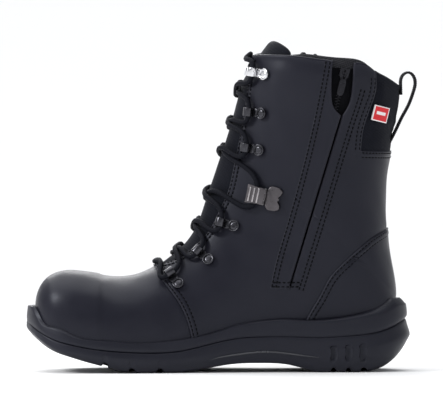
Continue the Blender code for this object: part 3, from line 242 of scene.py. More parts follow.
def surface(u, s):
    """Points of the outer surface."""
    u, s = np.broadcast_arrays(np.asarray(u, float), np.asarray(s, float))
    feather, ridge, width, closing, square, middle = section(u)
    start = np.arccos(-closing)
    angle = math.pi - np.abs(s) * (math.pi - start)
    t = -np.cos(angle)
    rise = np.sqrt(np.maximum(1 - np.abs(t) ** square, 0.0)) * np.sign(angle) * np.sign(s)
    part = ((t - closing) / (1 - closing))[..., None]
    flat = feather + (ridge - feather) * part
    return np.stack([flat[..., 0], middle + width * rise, flat[..., 1]], axis=-1)


def slopes(u, s):
    """How the surface point moves for each unit of u and of s."""
    du, ds = 0.05, 0.002
    low = np.clip(u - du, 0.02, LAST)
    along_u = (surface(low + 2 * du, s) - surface(low, s)) / (2 * du)
    safe = np.maximum(u, 1.0)
    along_s = (surface(safe, s + ds) - surface(safe, s - ds)) / (2 * ds)
    return along_u, along_s


def normals(u, s):
    """Unit normals of the outer surface, pointing out."""
    u, s = np.broadcast_arrays(np.asarray(u, float), np.asarray(s, float))
    return unit(np.cross(*slopes(u, s)))


def locate(points):
    """(u, s) with s >= 0 of the surface points seen at side-view points (x, z)."""
    points = np.atleast_2d(np.asarray(points, float))

    def turn(u):
        feather, ridge = FEATHER_AT(u), RIDGE_AT(u)
        arm, reach = ridge - feather, points - feather
        return arm[:, 0] * reach[:, 1] - arm[:, 1] * reach[:, 0]

    low, high = np.full(len(points), 2.0), np.full(len(points), LAST)
    top = turn(high)
    for _ in range(45):
        middle = (low + high) / 2
        ahead = turn(middle) * top <= 0
        low, high = np.where(ahead, middle, low), np.where(ahead, high, middle)
    feather, ridge, _, closing, _, _ = section(high)
    arm = ridge - feather
    part = ((points - feather) * arm).sum(1) / (arm * arm).sum(1)
    t = np.clip(closing + (1 - closing) * part, -1, 1)
    s = (math.pi - np.arccos(-t)) / (math.pi - np.arccos(-closing))
    return np.stack([high, np.minimum(s, 1.0)], axis=1)


def on_surface(x, z, side):
    """(point, normal) on the outer surface, as Vectors in millimetres."""
    u, s = locate([(x, z)])[0]
    return Vector(surface(u, s * side)), Vector(normals(u, s * side))


def side_line(points):
    """(u, s) along the smooth side-view curve through points."""
    count = max(3, int(along(points)[-1] / LINE_STEP))
    return locate(smooth_path(points, count))


def straight(a, b, step=LINE_STEP):
    """Points on the straight line from a to b."""
    a, b = np.array(a, float), np.array(b, float)
    return a + (b - a) * np.linspace(0, 1, max(2, int(np.linalg.norm(b - a) / step) + 1))[:, None]


def edge_line(start, end, s):
    """(u, s) along the ridge (s = 0) or the feather edge and back line (s = 1)."""
    u = np.linspace(start, end, max(2, int(abs(end - start) / LINE_STEP)))
    return np.stack([u, np.full(len(u), float(s))], axis=1)


def back_knot(z):
    """The section whose back or feather point is at height z, up the heel."""
    u = np.linspace(HEEL_KNOT, LAST, 400)
    return float(np.interp(z, FEATHER_AT(u)[:, 1], u))


def under_collar(points):
    """The stretch of a side-view line that lies below the collar, ended on it."""
    points = np.asarray(points, float)
    over = points[:, 1] - collar_height(points[:, 0])
    kept = []
    for i in range(len(points)):
        if i and (over[i] > 0) != (over[i - 1] > 0):
            part = over[i - 1] / (over[i - 1] - over[i])
            kept.append(points[i - 1] + (points[i] - points[i - 1]) * part)
        if over[i] <= 0:
            kept.append(points[i])
    return np.array(kept)


def beside(line, distance, toward):
    """A (u, s) line moved in the surface by distance, to the side where toward = (du, ds) points."""
    steps = max(1, int(abs(distance) / 2.5))
    for _ in range(steps):
        line = moved(line, distance / steps, toward)
    return line


def moved(line, distance, toward):
    """One step of beside; away from the ridge and the back line it is measured in three dimensions."""
    across = sideways(line)
    sign = np.sign((across * np.asarray(toward) * [1.0, 100.0**2]).sum(1).mean())
    out = line + across * distance * sign
    out[:, 1] = np.clip(out[:, 1], 0.0, 1.0)
    plain = (line[:, 1] > 0.12) & (line[:, 1] < 0.9)
    moved_to = solid(line) + square_across(line) * distance * sign
    out[plain] = locate(moved_to[plain][:, [0, 2]])
    return out


def square_across(line):
    """Unit vectors in the surface, to the left of a (u, s) line."""
    u, s = np.maximum(line[:, 0], 1.0), np.clip(line[:, 1], 0.004, 0.998)
    return np.cross(normals(u, s), heading(surface(u, s)))


def sideways(line):
    """One millimetre to the left of a (u, s) line, in the surface, at each of its points."""
    u, s = np.maximum(line[:, 0], 1.0), np.clip(line[:, 1], 0.004, 0.998)
    along_u, along_s = slopes(u, s)
    across = square_across(line)
    uu, us, ss = (along_u * along_u).sum(1), (along_u * along_s).sum(1), (along_s * along_s).sum(1)
    au, as_ = (across * along_u).sum(1), (across * along_s).sum(1)
    det = np.maximum(uu * ss - us * us, 1e-6)
    moved_u, moved_s = (au * ss - as_ * us) / det, (as_ * uu - au * us) / det
    return np.stack([np.clip(moved_u, -3, 3), np.clip(moved_s, -0.06, 0.06)], axis=1)


def away_from(points, line):
    """Distance in millimetres from each 3-D point to the nearest of the line's points."""
    out = np.empty(len(points))
    for i in range(0, len(points), 4000):
        block = points[i : i + 4000]
        square = (block**2).sum(1)[:, None] + (line**2).sum(1)[None, :] - 2 * block @ line.T
        out[i : i + 4000] = np.sqrt(np.maximum(square.min(1), 0.0))
    return out


def ease(x):
    """A smooth step from 0 to 1 as x goes from 0 to 1."""
    x = np.clip(x, 0.0, 1.0)
    return x * x * (3 - 2 * x)


def scene_point(p):
    return ((p[0] - ORIGIN[0]) * MM, (p[1] - ORIGIN[1]) * MM, p[2] * MM)


def scene_points(p):
    return (np.asarray(p) - [ORIGIN[0], ORIGIN[1], 0.0]) * MM


def frame_matrix(origin, x, y, z):
    """The matrix from local millimetres to the scene's metres."""
    turned = Matrix((x, y, z)).transposed().to_4x4() @ Matrix.Scale(MM, 4)
    return Matrix.Translation(Vector(scene_point(origin))) @ turned


# ================================================================ materials


class Finish:
    """A material built up from procedural textures in the object's own coordinates, in metres."""

    def __init__(self, name, colour, roughness, metallic=0.0, specular=0.5, tint=None):
        self.made = bpy.data.materials.new(name)
        self.made.use_nodes = True
        self.nodes, self.links = self.made.node_tree.nodes, self.made.node_tree.links
        self.shader = self.nodes["Principled BSDF"]
        self.set("Base Color", (*colour, 1.0))
        self.set("Roughness", roughness)
        self.set("Metallic", metallic)
        self.set("Specular IOR Level", specular)
        if tint:
            self.set("Specular Tint", tint)
        self.place = self.nodes.new("ShaderNodeTexCoord").outputs["Object"]
        self.normal = None

    def set(self, socket, value):
        self.shader.inputs[socket].default_value = value

    def node(self, kind, inputs=(), **settings):
        made = self.nodes.new(kind)
        for key, value in settings.items():
            setattr(made, key, value)
        for key, value in dict(inputs).items():
            self.feed(made.inputs[key], value)
        return made

    def feed(self, socket, value):
        if isinstance(value, bpy.types.NodeSocket):
            self.links.new(value, socket)
        else:
            socket.default_value = value

    def noise(self, scale, detail=3.0):
        inputs = {"Vector": self.place, "Scale": scale, "Detail": detail, "Roughness": 0.55}
        return self.node("ShaderNodeTexNoise", inputs).outputs["Fac"]

    def cells(self, scale):
        inputs = {"Vector": self.place, "Scale": scale, "Randomness": 1.0}
        return self.node("ShaderNodeTexVoronoi", inputs, feature="DISTANCE_TO_EDGE").outputs["Distance"]

    def waves(self, scale, direction, turn=0.0):
        """Bands of thread; the pattern is turned about Y by turn radians."""
        turned = self.node("ShaderNodeMapping", {"Vector": self.place, "Rotation": (0.0, turn, 0.0)})
        inputs = {"Vector": turned.outputs["Vector"], "Scale": scale, "Detail": 1.0, "Detail Scale": 2.0}
        return self.node("ShaderNodeTexWave", inputs, bands_direction=direction).outputs["Fac"]

    def maths(self, operation, a, b):
        return self.node("ShaderNodeMath", {0: a, 1: b}, operation=operation).outputs[0]

    def span(self, value, to_low, to_high):
        """A noise's usual range stretched to run from to_low to to_high."""
        inputs = {"Value": value, "From Min": 0.3, "From Max": 0.7, "To Min": to_low, "To Max": to_high}
        return self.node("ShaderNodeMapRange", inputs).outputs["Result"]

    def blend(self, part, a, b):
        made = self.node("ShaderNodeMix", {"Factor": part}, data_type="RGBA")
        for socket, value in ((made.inputs[6], a), (made.inputs[7], b)):
            self.feed(socket, (*value, 1.0) if isinstance(value, tuple) else value)
        return made.outputs[2]

    def colour(self, value):
        self.links.new(value, self.shader.inputs["Base Color"])

    def rough(self, value):
        self.links.new(value, self.shader.inputs["Roughness"])

    def bump(self, value, strength, distance):
        """Adds relief on top of the relief so far."""
        inputs = {"Height": value, "Strength": strength, "Distance": distance}
        if self.normal is not None:
            inputs["Normal"] = self.normal
        self.normal = self.node("ShaderNodeBump", inputs).outputs["Normal"]
        self.links.new(self.normal, self.shader.inputs["Normal"])

    def attribute(self, name):
        return self.node("ShaderNodeAttribute", attribute_name=name).outputs["Fac"]


COOL = (0.86, 0.90, 1.0, 1.0)


def shade(colour, part):
    """A colour made darker or lighter."""
    return tuple(c * part for c in colour)


def leather_finish(name, shine):
    """Finely grained leather, duller along cut edges, with a painted highlight there: a paler colour along
    each rounded cut edge.
    """
    look = Finish(name, (0.0085, 0.0085, 0.0135), 0.42, specular=0.20, tint=COOL)
    cloud, fine = look.noise(28.0, 4.0), look.noise(900.0, 2.0)
    pores = look.cells(620.0)
    rim = look.attribute("rim")
    grain = look.blend(cloud, (0.0088, 0.0088, 0.0142), (0.0132, 0.0132, 0.0200))
    # Painted highlight: the colour turns paler along the rounded cut edges, where the rim mask is high.
    look.colour(look.blend(rim, grain, (0.022, 0.022, 0.030)))
    wear = look.maths("ADD", look.span(cloud, shine - 0.05, shine + 0.06), look.maths("MULTIPLY", rim, 0.06))
    look.rough(look.maths("ADD", wear, look.span(fine, -0.03, 0.03)))
    look.bump(look.maths("MINIMUM", pores, 0.12), 0.22, 0.00035)
    look.bump(fine, 0.10, 0.00025)
    look.bump(look.noise(170.0), 0.10, 0.0007)
    return look.made


def rubber_finish(name, colour, shine, specular=0.28):
    look = Finish(name, colour, shine, specular=specular, tint=COOL)
    cloud, fine = look.noise(35.0, 4.0), look.noise(1500.0, 2.0)
    look.colour(look.blend(cloud, shade(colour, 0.8), shade(colour, 1.25)))
    look.rough(look.span(cloud, shine - 0.07, shine + 0.08))
    look.bump(fine, 0.18, 0.00025)
    look.bump(look.noise(90.0, 2.0), 0.05, 0.0008)
    return look.made


def weave_finish(name, dark, light, pitch, depth=0.5):
    """A plain weave: two crossing sets of threads, pitch metres apart."""
    look = Finish(name, dark, 0.85, specular=0.12, tint=COOL)
    scale = 2 * math.pi / (20.0 * pitch)
    warp, weft = look.waves(scale, "Z", 0.35), look.waves(scale, "X", 0.35)
    side = look.waves(scale, "Y")
    both = look.maths("MULTIPLY", warp, look.maths("MAXIMUM", weft, look.maths("MULTIPLY", side, 0.8)))
    fluff = look.noise(1200.0, 2.0)
    mixed = look.maths("ADD", look.maths("MULTIPLY", both, 0.75), look.maths("MULTIPLY", fluff, 0.25))
    look.colour(look.blend(mixed, dark, light))
    look.bump(mixed, depth, pitch * 0.4)
    look.bump(look.noise(260.0, 2.0), 0.12, 0.0006)
    look.set("Sheen Weight", 0.04)
    look.set("Sheen Roughness", 0.5)
    return look.made


def metal_finish(name, colour, shine, worn=0.08):
    look = Finish(name, colour, shine, metallic=1.0)
    cloud, fine = look.noise(260.0, 4.0), look.noise(2600.0)
    look.colour(look.blend(cloud, shade(colour, 0.72), shade(colour, 1.2)))
    look.rough(look.span(cloud, shine - worn, shine + worn))
    look.bump(fine, 0.12, 0.00012)
    return look.made


def thread_finish(name, colour, specular):
    look = Finish(name, colour, 0.68, specular=specular, tint=COOL)
    look.bump(look.noise(3000.0, 2.0), 0.4, 0.0002)
    look.colour(look.blend(look.noise(900.0), shade(colour, 0.6), shade(colour, 1.5)))
    return look.made


def label_finish():
    """Red weave, white where the mesh says so."""
    look = Finish("label_weave", (0.62, 0.012, 0.02), 0.62, specular=0.3)
    threads = look.waves(330.0, "DIAGONAL")
    white = look.attribute("white")
    red = look.blend(threads, (0.50, 0.006, 0.012), (0.78, 0.02, 0.03))
    look.colour(look.blend(white, red, (0.85, 0.80, 0.80)))
    look.bump(threads, 0.35, 0.0002)
    look.set("Sheen Weight", 0.15)
    return look.made


LOOKS = {
    "leather": leather_finish("black_leather_look", 0.40),
    "binding": leather_finish("rolled_leather_look", 0.26),
    "sole": rubber_finish("moulded_rubber_look", (0.0095, 0.0095, 0.0150), 0.46),
    # The ridge rubber is lighter than the sole's: a painted highlight along the glossy line; its gloss is
    # real.
    "ridge": rubber_finish("polished_ridge_painted_highlight_look", (0.03, 0.03, 0.033), 0.22, 0.7),
    "outsole": rubber_finish("outsole_rubber_look", (0.0095, 0.0095, 0.0150), 0.42),
    "textile": weave_finish("black_textile_look", (0.0025, 0.0025, 0.0045), (0.009, 0.0105, 0.017), 0.0011),
    "tape": weave_finish("zip_tape_look", (0.0015, 0.0015, 0.002), (0.006, 0.006, 0.008), 0.0007, 0.4),
    "webbing": weave_finish("webbing_look", (0.006, 0.006, 0.007), (0.035, 0.035, 0.038), 0.0013, 0.8),
    "lining": weave_finish("lining_mesh_look", (0.010, 0.010, 0.012), (0.045, 0.045, 0.05), 0.0016, 0.6),
    "felt": weave_finish("footbed_felt_look", (0.02, 0.02, 0.022), (0.06, 0.06, 0.065), 0.0014, 0.4),
    "foam": rubber_finish("foam_look", (0.10, 0.10, 0.105), 0.9),
    "board": rubber_finish("fibre_board_look", (0.30, 0.24, 0.17), 0.85),
    "steel": metal_finish("steel_look", (0.56, 0.56, 0.57), 0.36),
    "gunmetal": metal_finish("gunmetal_look", (0.060, 0.060, 0.068), 0.27),
    "silver": metal_finish("bright_nickel_look", (0.78, 0.78, 0.80), 0.16, 0.04),
    "bronze": metal_finish("lock_bronze_look", (0.100, 0.093, 0.099), 0.34),
    # Painted highlight: the lock jaw's ribs get a bronze far lighter than the rest of the lock.
    "worn": metal_finish("lock_rib_painted_highlight_look", (0.36, 0.34, 0.35), 0.26),
    "dark": metal_finish("zip_metal_look", (0.024, 0.024, 0.028), 0.22),
    "lace": thread_finish("lace_cord_look", (0.0050, 0.0052, 0.0080), 0.10),
    "thread": thread_finish("seam_thread_look", (0.0025, 0.0025, 0.003), 0.08),
    "label": label_finish(),
}

# ================================================================ making pieces


def add_piece(name, mesh, kind, body="boot", stands_for=(), smooth=50.0):
    """Puts a mesh in the scene as one piece of the boot."""
    mesh.materials.clear()
    mesh.materials.append(LOOKS[kind])
    mesh.shade_smooth()
    if smooth:
        mesh.set_sharp_from_angle(angle=math.radians(smooth))
    piece = bpy.data.objects.new(name, mesh)
    bpy.context.scene.collection.objects.link(piece)
    if stands_for:
        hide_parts(*stands_for)
    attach(piece, body)
    return piece


def clean(bm):
    """Joins nearly equal points, and leaves no loose edge or point, no flap of skin and no small gap."""
    bmesh.ops.remove_doubles(bm, verts=bm.verts, dist=2e-6)
    bmesh.ops.dissolve_degenerate(bm, edges=bm.edges, dist=1e-7)
    bmesh.ops.delete(bm, geom=[e for e in bm.edges if not e.link_faces], context="EDGES")
    bmesh.ops.delete(bm, geom=[v for v in bm.verts if not v.link_faces], context="VERTS")
    crowded = {f for e in bm.edges if len(e.link_faces) > 2 for f in e.link_faces}
    bmesh.ops.delete(bm, geom=[f for f in crowded if any(e.is_boundary for e in f.edges)], context="FACES")
    bmesh.ops.holes_fill(bm, edges=[e for e in bm.edges if e.is_boundary])


def mesh_from(name, points, faces, attributes=()):
    """A closed mesh from scene points."""
    mesh = bpy.data.meshes.new(name)
    mesh.from_pydata([tuple(p) for p in points], [], [tuple(f) for f in faces])
    for key, values in dict(attributes).items():
        mesh.attributes.new(key, "FLOAT", "POINT").data.foreach_set("value", np.asarray(values, np.float32))
    bm = bmesh.new()
    bm.from_mesh(mesh)
    clean(bm)
    bmesh.ops.recalc_face_normals(bm, faces=bm.faces)
    bm.to_mesh(mesh)
    bm.free()
    return mesh


def bm_mesh(name, bm):
    """A closed mesh from bm, its faces turned outwards."""
    clean(bm)
    bmesh.ops.recalc_face_normals(bm, faces=bm.faces)
    if bm.calc_volume(signed=True) < 0:
        bmesh.ops.reverse_faces(bm, faces=bm.faces)
    mesh = bpy.data.meshes.new(name)
    bm.to_mesh(mesh)
    bm.free()
    return mesh


def wrap(bm, rings):
    """Faces between neighbouring closed rings of mesh points, where a point may be repeated."""
    for low, high in zip(rings, rings[1:]):
        for i in range(len(low)):
            j = (i + 1) % len(low)
            corners = list(dict.fromkeys([low[i], low[j], high[j], high[i]]))
            if len(corners) > 2:
                bm.faces.new(corners)


def sweep(name, rings, kind, **options):
    """A skin over rings of points in millimetres, with flat ends."""
    bm = bmesh.new()
    loops = [[bm.verts.new(p) for p in scene_points(ring)] for ring in rings]
    wrap(bm, loops)
    bm.faces.new(loops[0][::-1])
    bm.faces.new(loops[-1])
    return add_piece(name, bm_mesh(name, bm), kind, **options)


# ---------------------------------------------------------------- sheets cut to an outline

# PLANE turns (u, s) into roughly even units, close to millimetres; RINGS are distances in from an edge.
PLANE = np.array([1.0, 120.0])
RINGS = (0.15, 0.45, 0.9, 1.35, 1.8, 2.25, 2.9, 3.6, 4.3, 4.8, 5.3, 5.8, 6.5)
GRID_MARGIN = 7.1


def inside(points, outline):
    """Whether each point lies in the closed outline."""
    found = np.zeros(len(points), bool)
    a, b = outline, np.roll(outline, -1, axis=0)
    for (ax, ay), (bx, by) in zip(a, b):
        if ay == by:
            continue
        crosses = (points[:, 1] < max(ay, by)) & (points[:, 1] >= min(ay, by))
        found ^= crosses & (points[:, 0] < ax + (points[:, 1] - ay) * (bx - ax) / (by - ay))
    return found


def joined(lines):
    """One closed outline from (u, s) lines end to end, without the repeated corners."""
    outline = np.concatenate(lines)
    keep = np.linalg.norm((outline - np.roll(outline, 1, axis=0)) * PLANE, axis=1) > 0.25
    outline = outline[keep]
    x, y = (outline * PLANE).T
    area = (x * np.roll(y, -1) - np.roll(x, -1) * y).sum()
    return outline if area > 0 else outline[::-1]


def shared(line):
    """Where an outline runs on the ridge, or on the back line, and so joins its mirror image."""
    return (line[:, 1] < 1e-6) | ((line[:, 1] > 1 - 1e-6) & (line[:, 0] > HEEL_KNOT - 0.1))


def fill(outline, step):
    """Points (u, s) and triangles that fill an outline, with rows close to its edge for the rounding."""
    free = ~shared(outline)
    closed = np.concatenate([outline[-1:], outline, outline[:1]])
    inward = sideways(closed)[1:-1]
    rings = [outline[free] + inward[free] * d for d in RINGS]
    edge = solid(outline[free])
    rings = [ring[away_from(solid(ring), edge) > 0.9 * d] for ring, d in zip(rings, RINGS)]
    flat = outline * PLANE
    low, high = flat.min(0), flat.max(0)
    rows = np.arange(low[0], high[0], step * 0.87)
    starts = [low[1] + step / 2 * (i % 2) for i in range(len(rows))]
    grid = np.array([(x, y) for x, start in zip(rows, starts) for y in np.arange(start, high[1], step)])
    grid = grid[inside(grid, flat)]
    grid = grid[away_from(grid, flat) > GRID_MARGIN]
    rings = np.concatenate(rings)
    rings = rings[(rings[:, 1] > 0.002) & (rings[:, 1] < 0.998)] * PLANE
    rings = rings[inside(rings, flat)]
    points = np.concatenate([flat, rings, grid])
    count = len(flat)
    edges = [(i, (i + 1) % count) for i in range(count)]
    made = delaunay_2d_cdt([Vector(p) for p in points], edges, [], 1, 1e-4, False)
    found, triangles = np.array([tuple(p) for p in made[0]]), np.array(made[2])
    kept = inside(found[triangles].mean(1), flat)
    return found / PLANE, triangles[kept], outline


def ripple(points, size=1.0):
    """The slight unevenness of real leather, in millimetres."""
    waves = [(0.11, 0.05, 0.13, 0.4), (-0.07, 0.16, 0.09, 1.9), (0.19, -0.11, 0.05, 3.1),
             (0.05, 0.09, -0.21, 5.0), (0.27, 0.21, 0.12, 0.8), (-0.14, 0.24, -0.19, 2.6)]
    total = sum(np.sin(points @ np.array(w[:3]) + w[3]) for w in waves)
    return 0.07 * size * total


def panel(name, lines, kind, sides, height, thickness=1.8, step=2.4, stands_for=(), round_over=1.0):
    """A sheet cut to an outline on the surface, raised by height(us, points), with rounded edges."""
    us, triangles, outline = fill(joined(lines), step)
    raw = surface(us[:, 0], us[:, 1])
    free = outline[~shared(outline)]
    edge = away_from(raw, surface(free[:, 0], free[:, 1]))
    arc = np.sqrt(np.maximum(round_over**2 - (round_over - edge) ** 2, 0))
    drop = np.where(edge < round_over, round_over - arc, 0)
    lift = height(us, raw)
    # rim marks the last millimetre or so of each cut edge; the leather look paints a highlight there as a
    # paler colour.
    rim = np.exp(-((edge / 1.1) ** 2))
    directed = dict.fromkeys(pair for a, b, c in triangles for pair in ((a, b), (b, c), (c, a)))
    border = [(a, b) for a, b in directed if (b, a) not in directed]
    joins = shared(us)
    border = [(a, b) for a, b in border if len(sides) == 1 or not (joins[a] and joins[b])]
    points, faces, edge_highlight_rims = [], [], []
    for side in sides:
        out = normals(us[:, 0], us[:, 1] * side)
        base = surface(us[:, 0], us[:, 1] * side)
        start, count = sum(len(p) for p in points), len(us)
        top = base + out * (lift - drop)[:, None]
        low = base + out * (lift - thickness)[:, None]
        points += [top, low]
        edge_highlight_rims += [rim, np.zeros(count)]
        turn = 1 if side > 0 else -1
        faces += [tuple(f[::turn] + start) for f in triangles]
        faces += [tuple(f[::-turn] + start + count) for f in triangles]
        for a, b in border:
            wall = (b + start, a + start, a + start + count, b + start + count)
            faces.append(wall[::turn])
    mesh = mesh_from(name, scene_points(np.concatenate(points)), faces, {"rim": np.concatenate(edge_highlight_rims)})
    return add_piece(name, mesh, kind, stands_for=stands_for)


# ---------------------------------------------------------------- stitches


def capsule_rings(length, radius, sides):
    """Rings of a thread stitch lying along X, dipping into the leather at its ends."""
    rings = []
    for part, size in ((-0.5, 0.25), (-0.42, 0.75), (-0.2, 1.0), (0.2, 1.0), (0.42, 0.75), (0.5, 0.25)):
        sink = -0.35 * (2 * abs(part)) ** 3
        ring = [(part * length, radius * size * math.cos(a), radius * size * math.sin(a) + sink)
                for a in np.linspace(0, 2 * math.pi, sides, endpoint=False)]
        rings.append(ring)
    return np.array(rings)


STITCH_PITCH = 3.3
STITCH = capsule_rings(length=2.5, radius=0.55, sides=6)


def stitch_faces(start):
    """The faces of one stitch whose points begin at start."""
    rings, sides = STITCH.shape[:2]
    faces = []
    for r in range(rings - 1):
        for i in range(sides):
            j = (i + 1) % sides
            a = start + r * sides
            faces.append((a + i, a + j, a + sides + j, a + sides + i))
    faces.append(tuple(start + i for i in reversed(range(sides))))
    faces.append(tuple(start + (rings - 1) * sides + i for i in range(sides)))
    return faces


def stitch_row(line, side, height):
    """Stitches along a (u, s) line: a list of point arrays in millimetres."""
    points = surface(line[:, 0], line[:, 1] * side)
    lift = height(line, surface(line[:, 0], line[:, 1]))
    points = points + normals(line[:, 0], line[:, 1] * side) * (lift + 0.12)[:, None]
    reach = along(points)
    count = max(1, int(reach[-1] / STITCH_PITCH))
    at = (np.arange(count) + 0.5) * reach[-1] / count
    us = part_way(line, reach, at)
    x = unit(part_way(points, reach, at + 0.6) - part_way(points, reach, at - 0.6))
    y = unit(np.cross(normals(us[:, 0], us[:, 1] * side), x))
    turns = np.stack([x, y, np.cross(x, y)], axis=1)
    return [p + STITCH.reshape(-1, 3) @ turn for p, turn in zip(part_way(points, reach, at), turns)]


def part_way(points, reach, at):
    """Points at distances along a chain of points whose own distances are reach."""
    return np.stack([np.interp(at, reach, column) for column in points.T], axis=1)


def stitches(name, rows):
    """One piece of thread from rows of stitches."""
    points = [p for row in rows for p in row]
    faces = []
    size = STITCH.shape[0] * STITCH.shape[1]
    for i in range(len(points)):
        faces += stitch_faces(i * size)
    mesh = mesh_from(name, scene_points(np.concatenate(points)), faces)
    return add_piece(name, mesh, "thread", smooth=70.0)


# ================================================================ the leather

THROAT = float(locate([VAMP_SEAM[0]])[0, 0])
SEAM = side_line(VAMP_SEAM)
SEAM = SEAM[: int(np.argmax(SEAM[:, 1] > 0.999)) + 1] if (SEAM[:, 1] > 0.999).any() else SEAM
SEAM[-1, 1] = 1.0
FACING_LINE = side_line(FACING)
COLLAR_LINE = side_line(COLLAR[:6])
COLLAR_BACK = side_line(COLLAR[5:8] + [(143.0, 224.6)])
FLEX_LINE = side_line(FLEX_EDGE)
FLEX_LOW = locate(straight(FLEX_EDGE[-1], (137.5, FLEX_BOTTOM)))
COUNTER_LINE = side_line(COUNTER_SEAM[1:])
COUNTER_LINE = np.concatenate([[[back_knot(113.5), 1.0]], COUNTER_LINE])
COUNTER_LINE = COUNTER_LINE[: int(np.argmax(COUNTER_LINE[1:, 1] > 0.999)) + 2]
COUNTER_LINE[-1, 1] = 1.0
COLLAR_END = float(locate([(142.0, 225.2)])[0, 0])


def solid(line):
    """The 3-D points of a (u, s) line on the outer side."""
    return surface(line[:, 0], line[:, 1])


def past(us, line):
    """Plane distance of each (u, s) beyond a line: positive on its left."""
    flat, path = us * PLANE, line * PLANE
    nearest = np.empty(len(flat), int)
    for i in range(0, len(flat), 4000):
        block = flat[i : i + 4000]
        nearest[i : i + 4000] = ((block[:, None, :] - path[None, :, :]) ** 2).sum(2).argmin(1)
    nearest = np.clip(nearest, 0, len(path) - 2)
    tangent = unit(path[nearest + 1] - path[nearest])
    reach = flat - path[nearest]
    return tangent[:, 0] * reach[:, 1] - tangent[:, 1] * reach[:, 0]


def vamp_height(us, points):
    """The toe cap's edge shows through the leather, which dips under the quarters at the seam."""
    behind = -away_from(points, solid(SEAM)) * np.sign(past(us, SEAM))
    cap = 0.7 * ease((-94.0 - points[:, 0]) / 5.0)
    return cap - 0.5 - 0.75 * ease((behind + 3.0) / 5.0) + ripple(points)


def below_collar(points):
    """How far points lie below the leather's top edge."""
    return collar_height(points[:, 0]) - points[:, 2]


def collar_pad(points):
    """The swell of the padding under the leather below the collar."""
    below = below_collar(points)
    return 1.5 * ease(below / 13.0) * ease((54.0 - below) / 34.0)


def stitched(distance):
    """The relief of a double seam: a dent along each row of stitches and a full strip between them."""
    rows = np.exp(-(((distance - 1.75) / 0.5) ** 2)) + np.exp(-(((distance - 5.25) / 0.5) ** 2))
    return 0.3 * np.exp(-(((distance - 3.5) / 1.2) ** 2)) - 0.4 * rows


def quarter_height(us, points):
    """Raised over the vamp, dipping under the heel cover, padded below the collar."""
    seam = away_from(points, solid(SEAM))
    facing = away_from(points, solid(FACING_LINE))
    flex = away_from(points, solid(np.concatenate([FLEX_LINE, FLEX_LOW])))
    sewn = stitched(seam) + stitched(facing) + 0.8 * stitched(flex)
    counter = -away_from(points, solid(COUNTER_LINE)) * np.sign(past(us, COUNTER_LINE))
    pad = collar_pad(points) * ease((points[:, 0] - 30.0) / 14.0)
    roll = 0.5 * np.exp(-((below_collar(points) / 2.4) ** 2))
    over = 0.9 * np.exp(-((seam / 7.0) ** 2)) - 0.75 * ease((counter + 3.0) / 5.0)
    return over + sewn + pad + roll + ripple(points)


def counter_height(us, points):
    """Laid over the quarters, raised along its seam."""
    edge = away_from(points, solid(COUNTER_LINE))
    return 0.15 + 0.9 * np.exp(-((edge / 6.0) ** 2)) + stitched(edge) + ripple(points)


def make_vamp():
    under = beside(SEAM, 7.0, (1.0, 0.0))
    under = under[under[:, 1] > 0.06]
    under[-1, 1] = 1.0
    lines = [edge_line(0.0, THROAT + 1.0, 0.0), straight((THROAT + 1.0, 0.0), SEAM[0]),
             straight(SEAM[0], under[0]), under, edge_line(under[-1, 0], 0.0, 1.0)]
    panel("vamp_leather", lines, "leather", (-1, 1), vamp_height, stands_for=("vamp",))


def quarter_low_lines():
    """The quarter's outline from under the heel cover along the feather edge and up the vamp seam."""
    under = beside(COUNTER_LINE, 7.0, (1.0, 0.3))
    under = under[(under[:, 1] < 0.97) | (np.arange(len(under)) < len(under) // 2)]
    end = float(under[-1, 0])
    return under, [edge_line(end, SEAM[-1, 0], 1.0), SEAM[::-1], FACING_LINE[1:]]


def make_quarters():
    under, low = quarter_low_lines()
    rear_top = [FLEX_LINE, FLEX_LOW[:-1], np.array([[back_knot(FLEX_BOTTOM), 1.0]])]
    back = edge_line(back_knot(FLEX_BOTTOM) - 1.0, under[0, 0], 1.0)
    lines = [*low, COLLAR_LINE, *rear_top, back, under]
    panel("quarter_leather_lateral", lines, "leather", (1,), quarter_height, stands_for=("quarter_lateral",))
    front = flap_front()
    rear = under_collar(rear_strip_edge())
    collar = smooth_path(COLLAR[:6], 90)
    first = collar[collar[:, 0] < front[0, 0] - 0.5]
    second = collar[collar[:, 0] > rear[-1, 0] + 0.5]
    bottom = straight((front[-1, 0], ZIP_WINDOW_BOTTOM), (rear[0, 0], ZIP_WINDOW_BOTTOM))
    window = [locate(part) for part in (first, front, bottom, rear, second)]
    lines = [*low, *window, *rear_top, back, under]
    panel("quarter_leather_medial", lines, "leather", (-1,), quarter_height, stands_for=("quarter_medial",))


def flap_front():
    """The sewn front edge of the zip flap, from the collar down."""
    return under_collar(smooth_path(FLAP_FRONT, 140))


def zip_side_view(across, up):
    """The side-view place of a point on the zip's line: across it towards the heel, and up it."""
    bottom, x, y, _ = ZIP
    p = bottom + x * across + y * up
    return (p.x, p.z)


def rear_strip_edge():
    """The rear quarter's edge along the zip, bottom to top, opening out at the recess."""
    low, high = zip_side_view(0.6, -3.7), (94.2, 203.0)
    recess = [(96.2, 206.0), (98.9, 211.0), (101.2, 222.0), (104.0, 262.0)]
    return np.array([*straight(low, high), *smooth_path(recess, 40)])


def flap_edge():
    """The flap's free edge along the zip, bottom to top, cut back at the recess."""
    low, high = zip_side_view(-0.5, -1.5), (92.8, 203.0)
    recess = [(90.6, 205.2), (87.2, 209.4), (85.4, 219.0), (87.4, 262.0)]
    return np.array([*straight(low, high), *smooth_path(recess, 40)])


def make_zip_frame():
    """The zip's lower end, and its directions across, up along the teeth and out of the leather."""
    top, normal_top = on_surface(*ZIP_TOP, -1)
    bottom, normal_bottom = on_surface(*ZIP_BOTTOM, -1)
    up = (top - bottom).normalized()
    out = (normal_top + normal_bottom).normalized()
    out = (out - up * out.dot(up)).normalized()
    return bottom, up.cross(out), up, out


ZIP = make_zip_frame()
ZIP_LENGTH = (on_surface(*ZIP_TOP, -1)[0] - on_surface(*ZIP_BOTTOM, -1)[0]).length


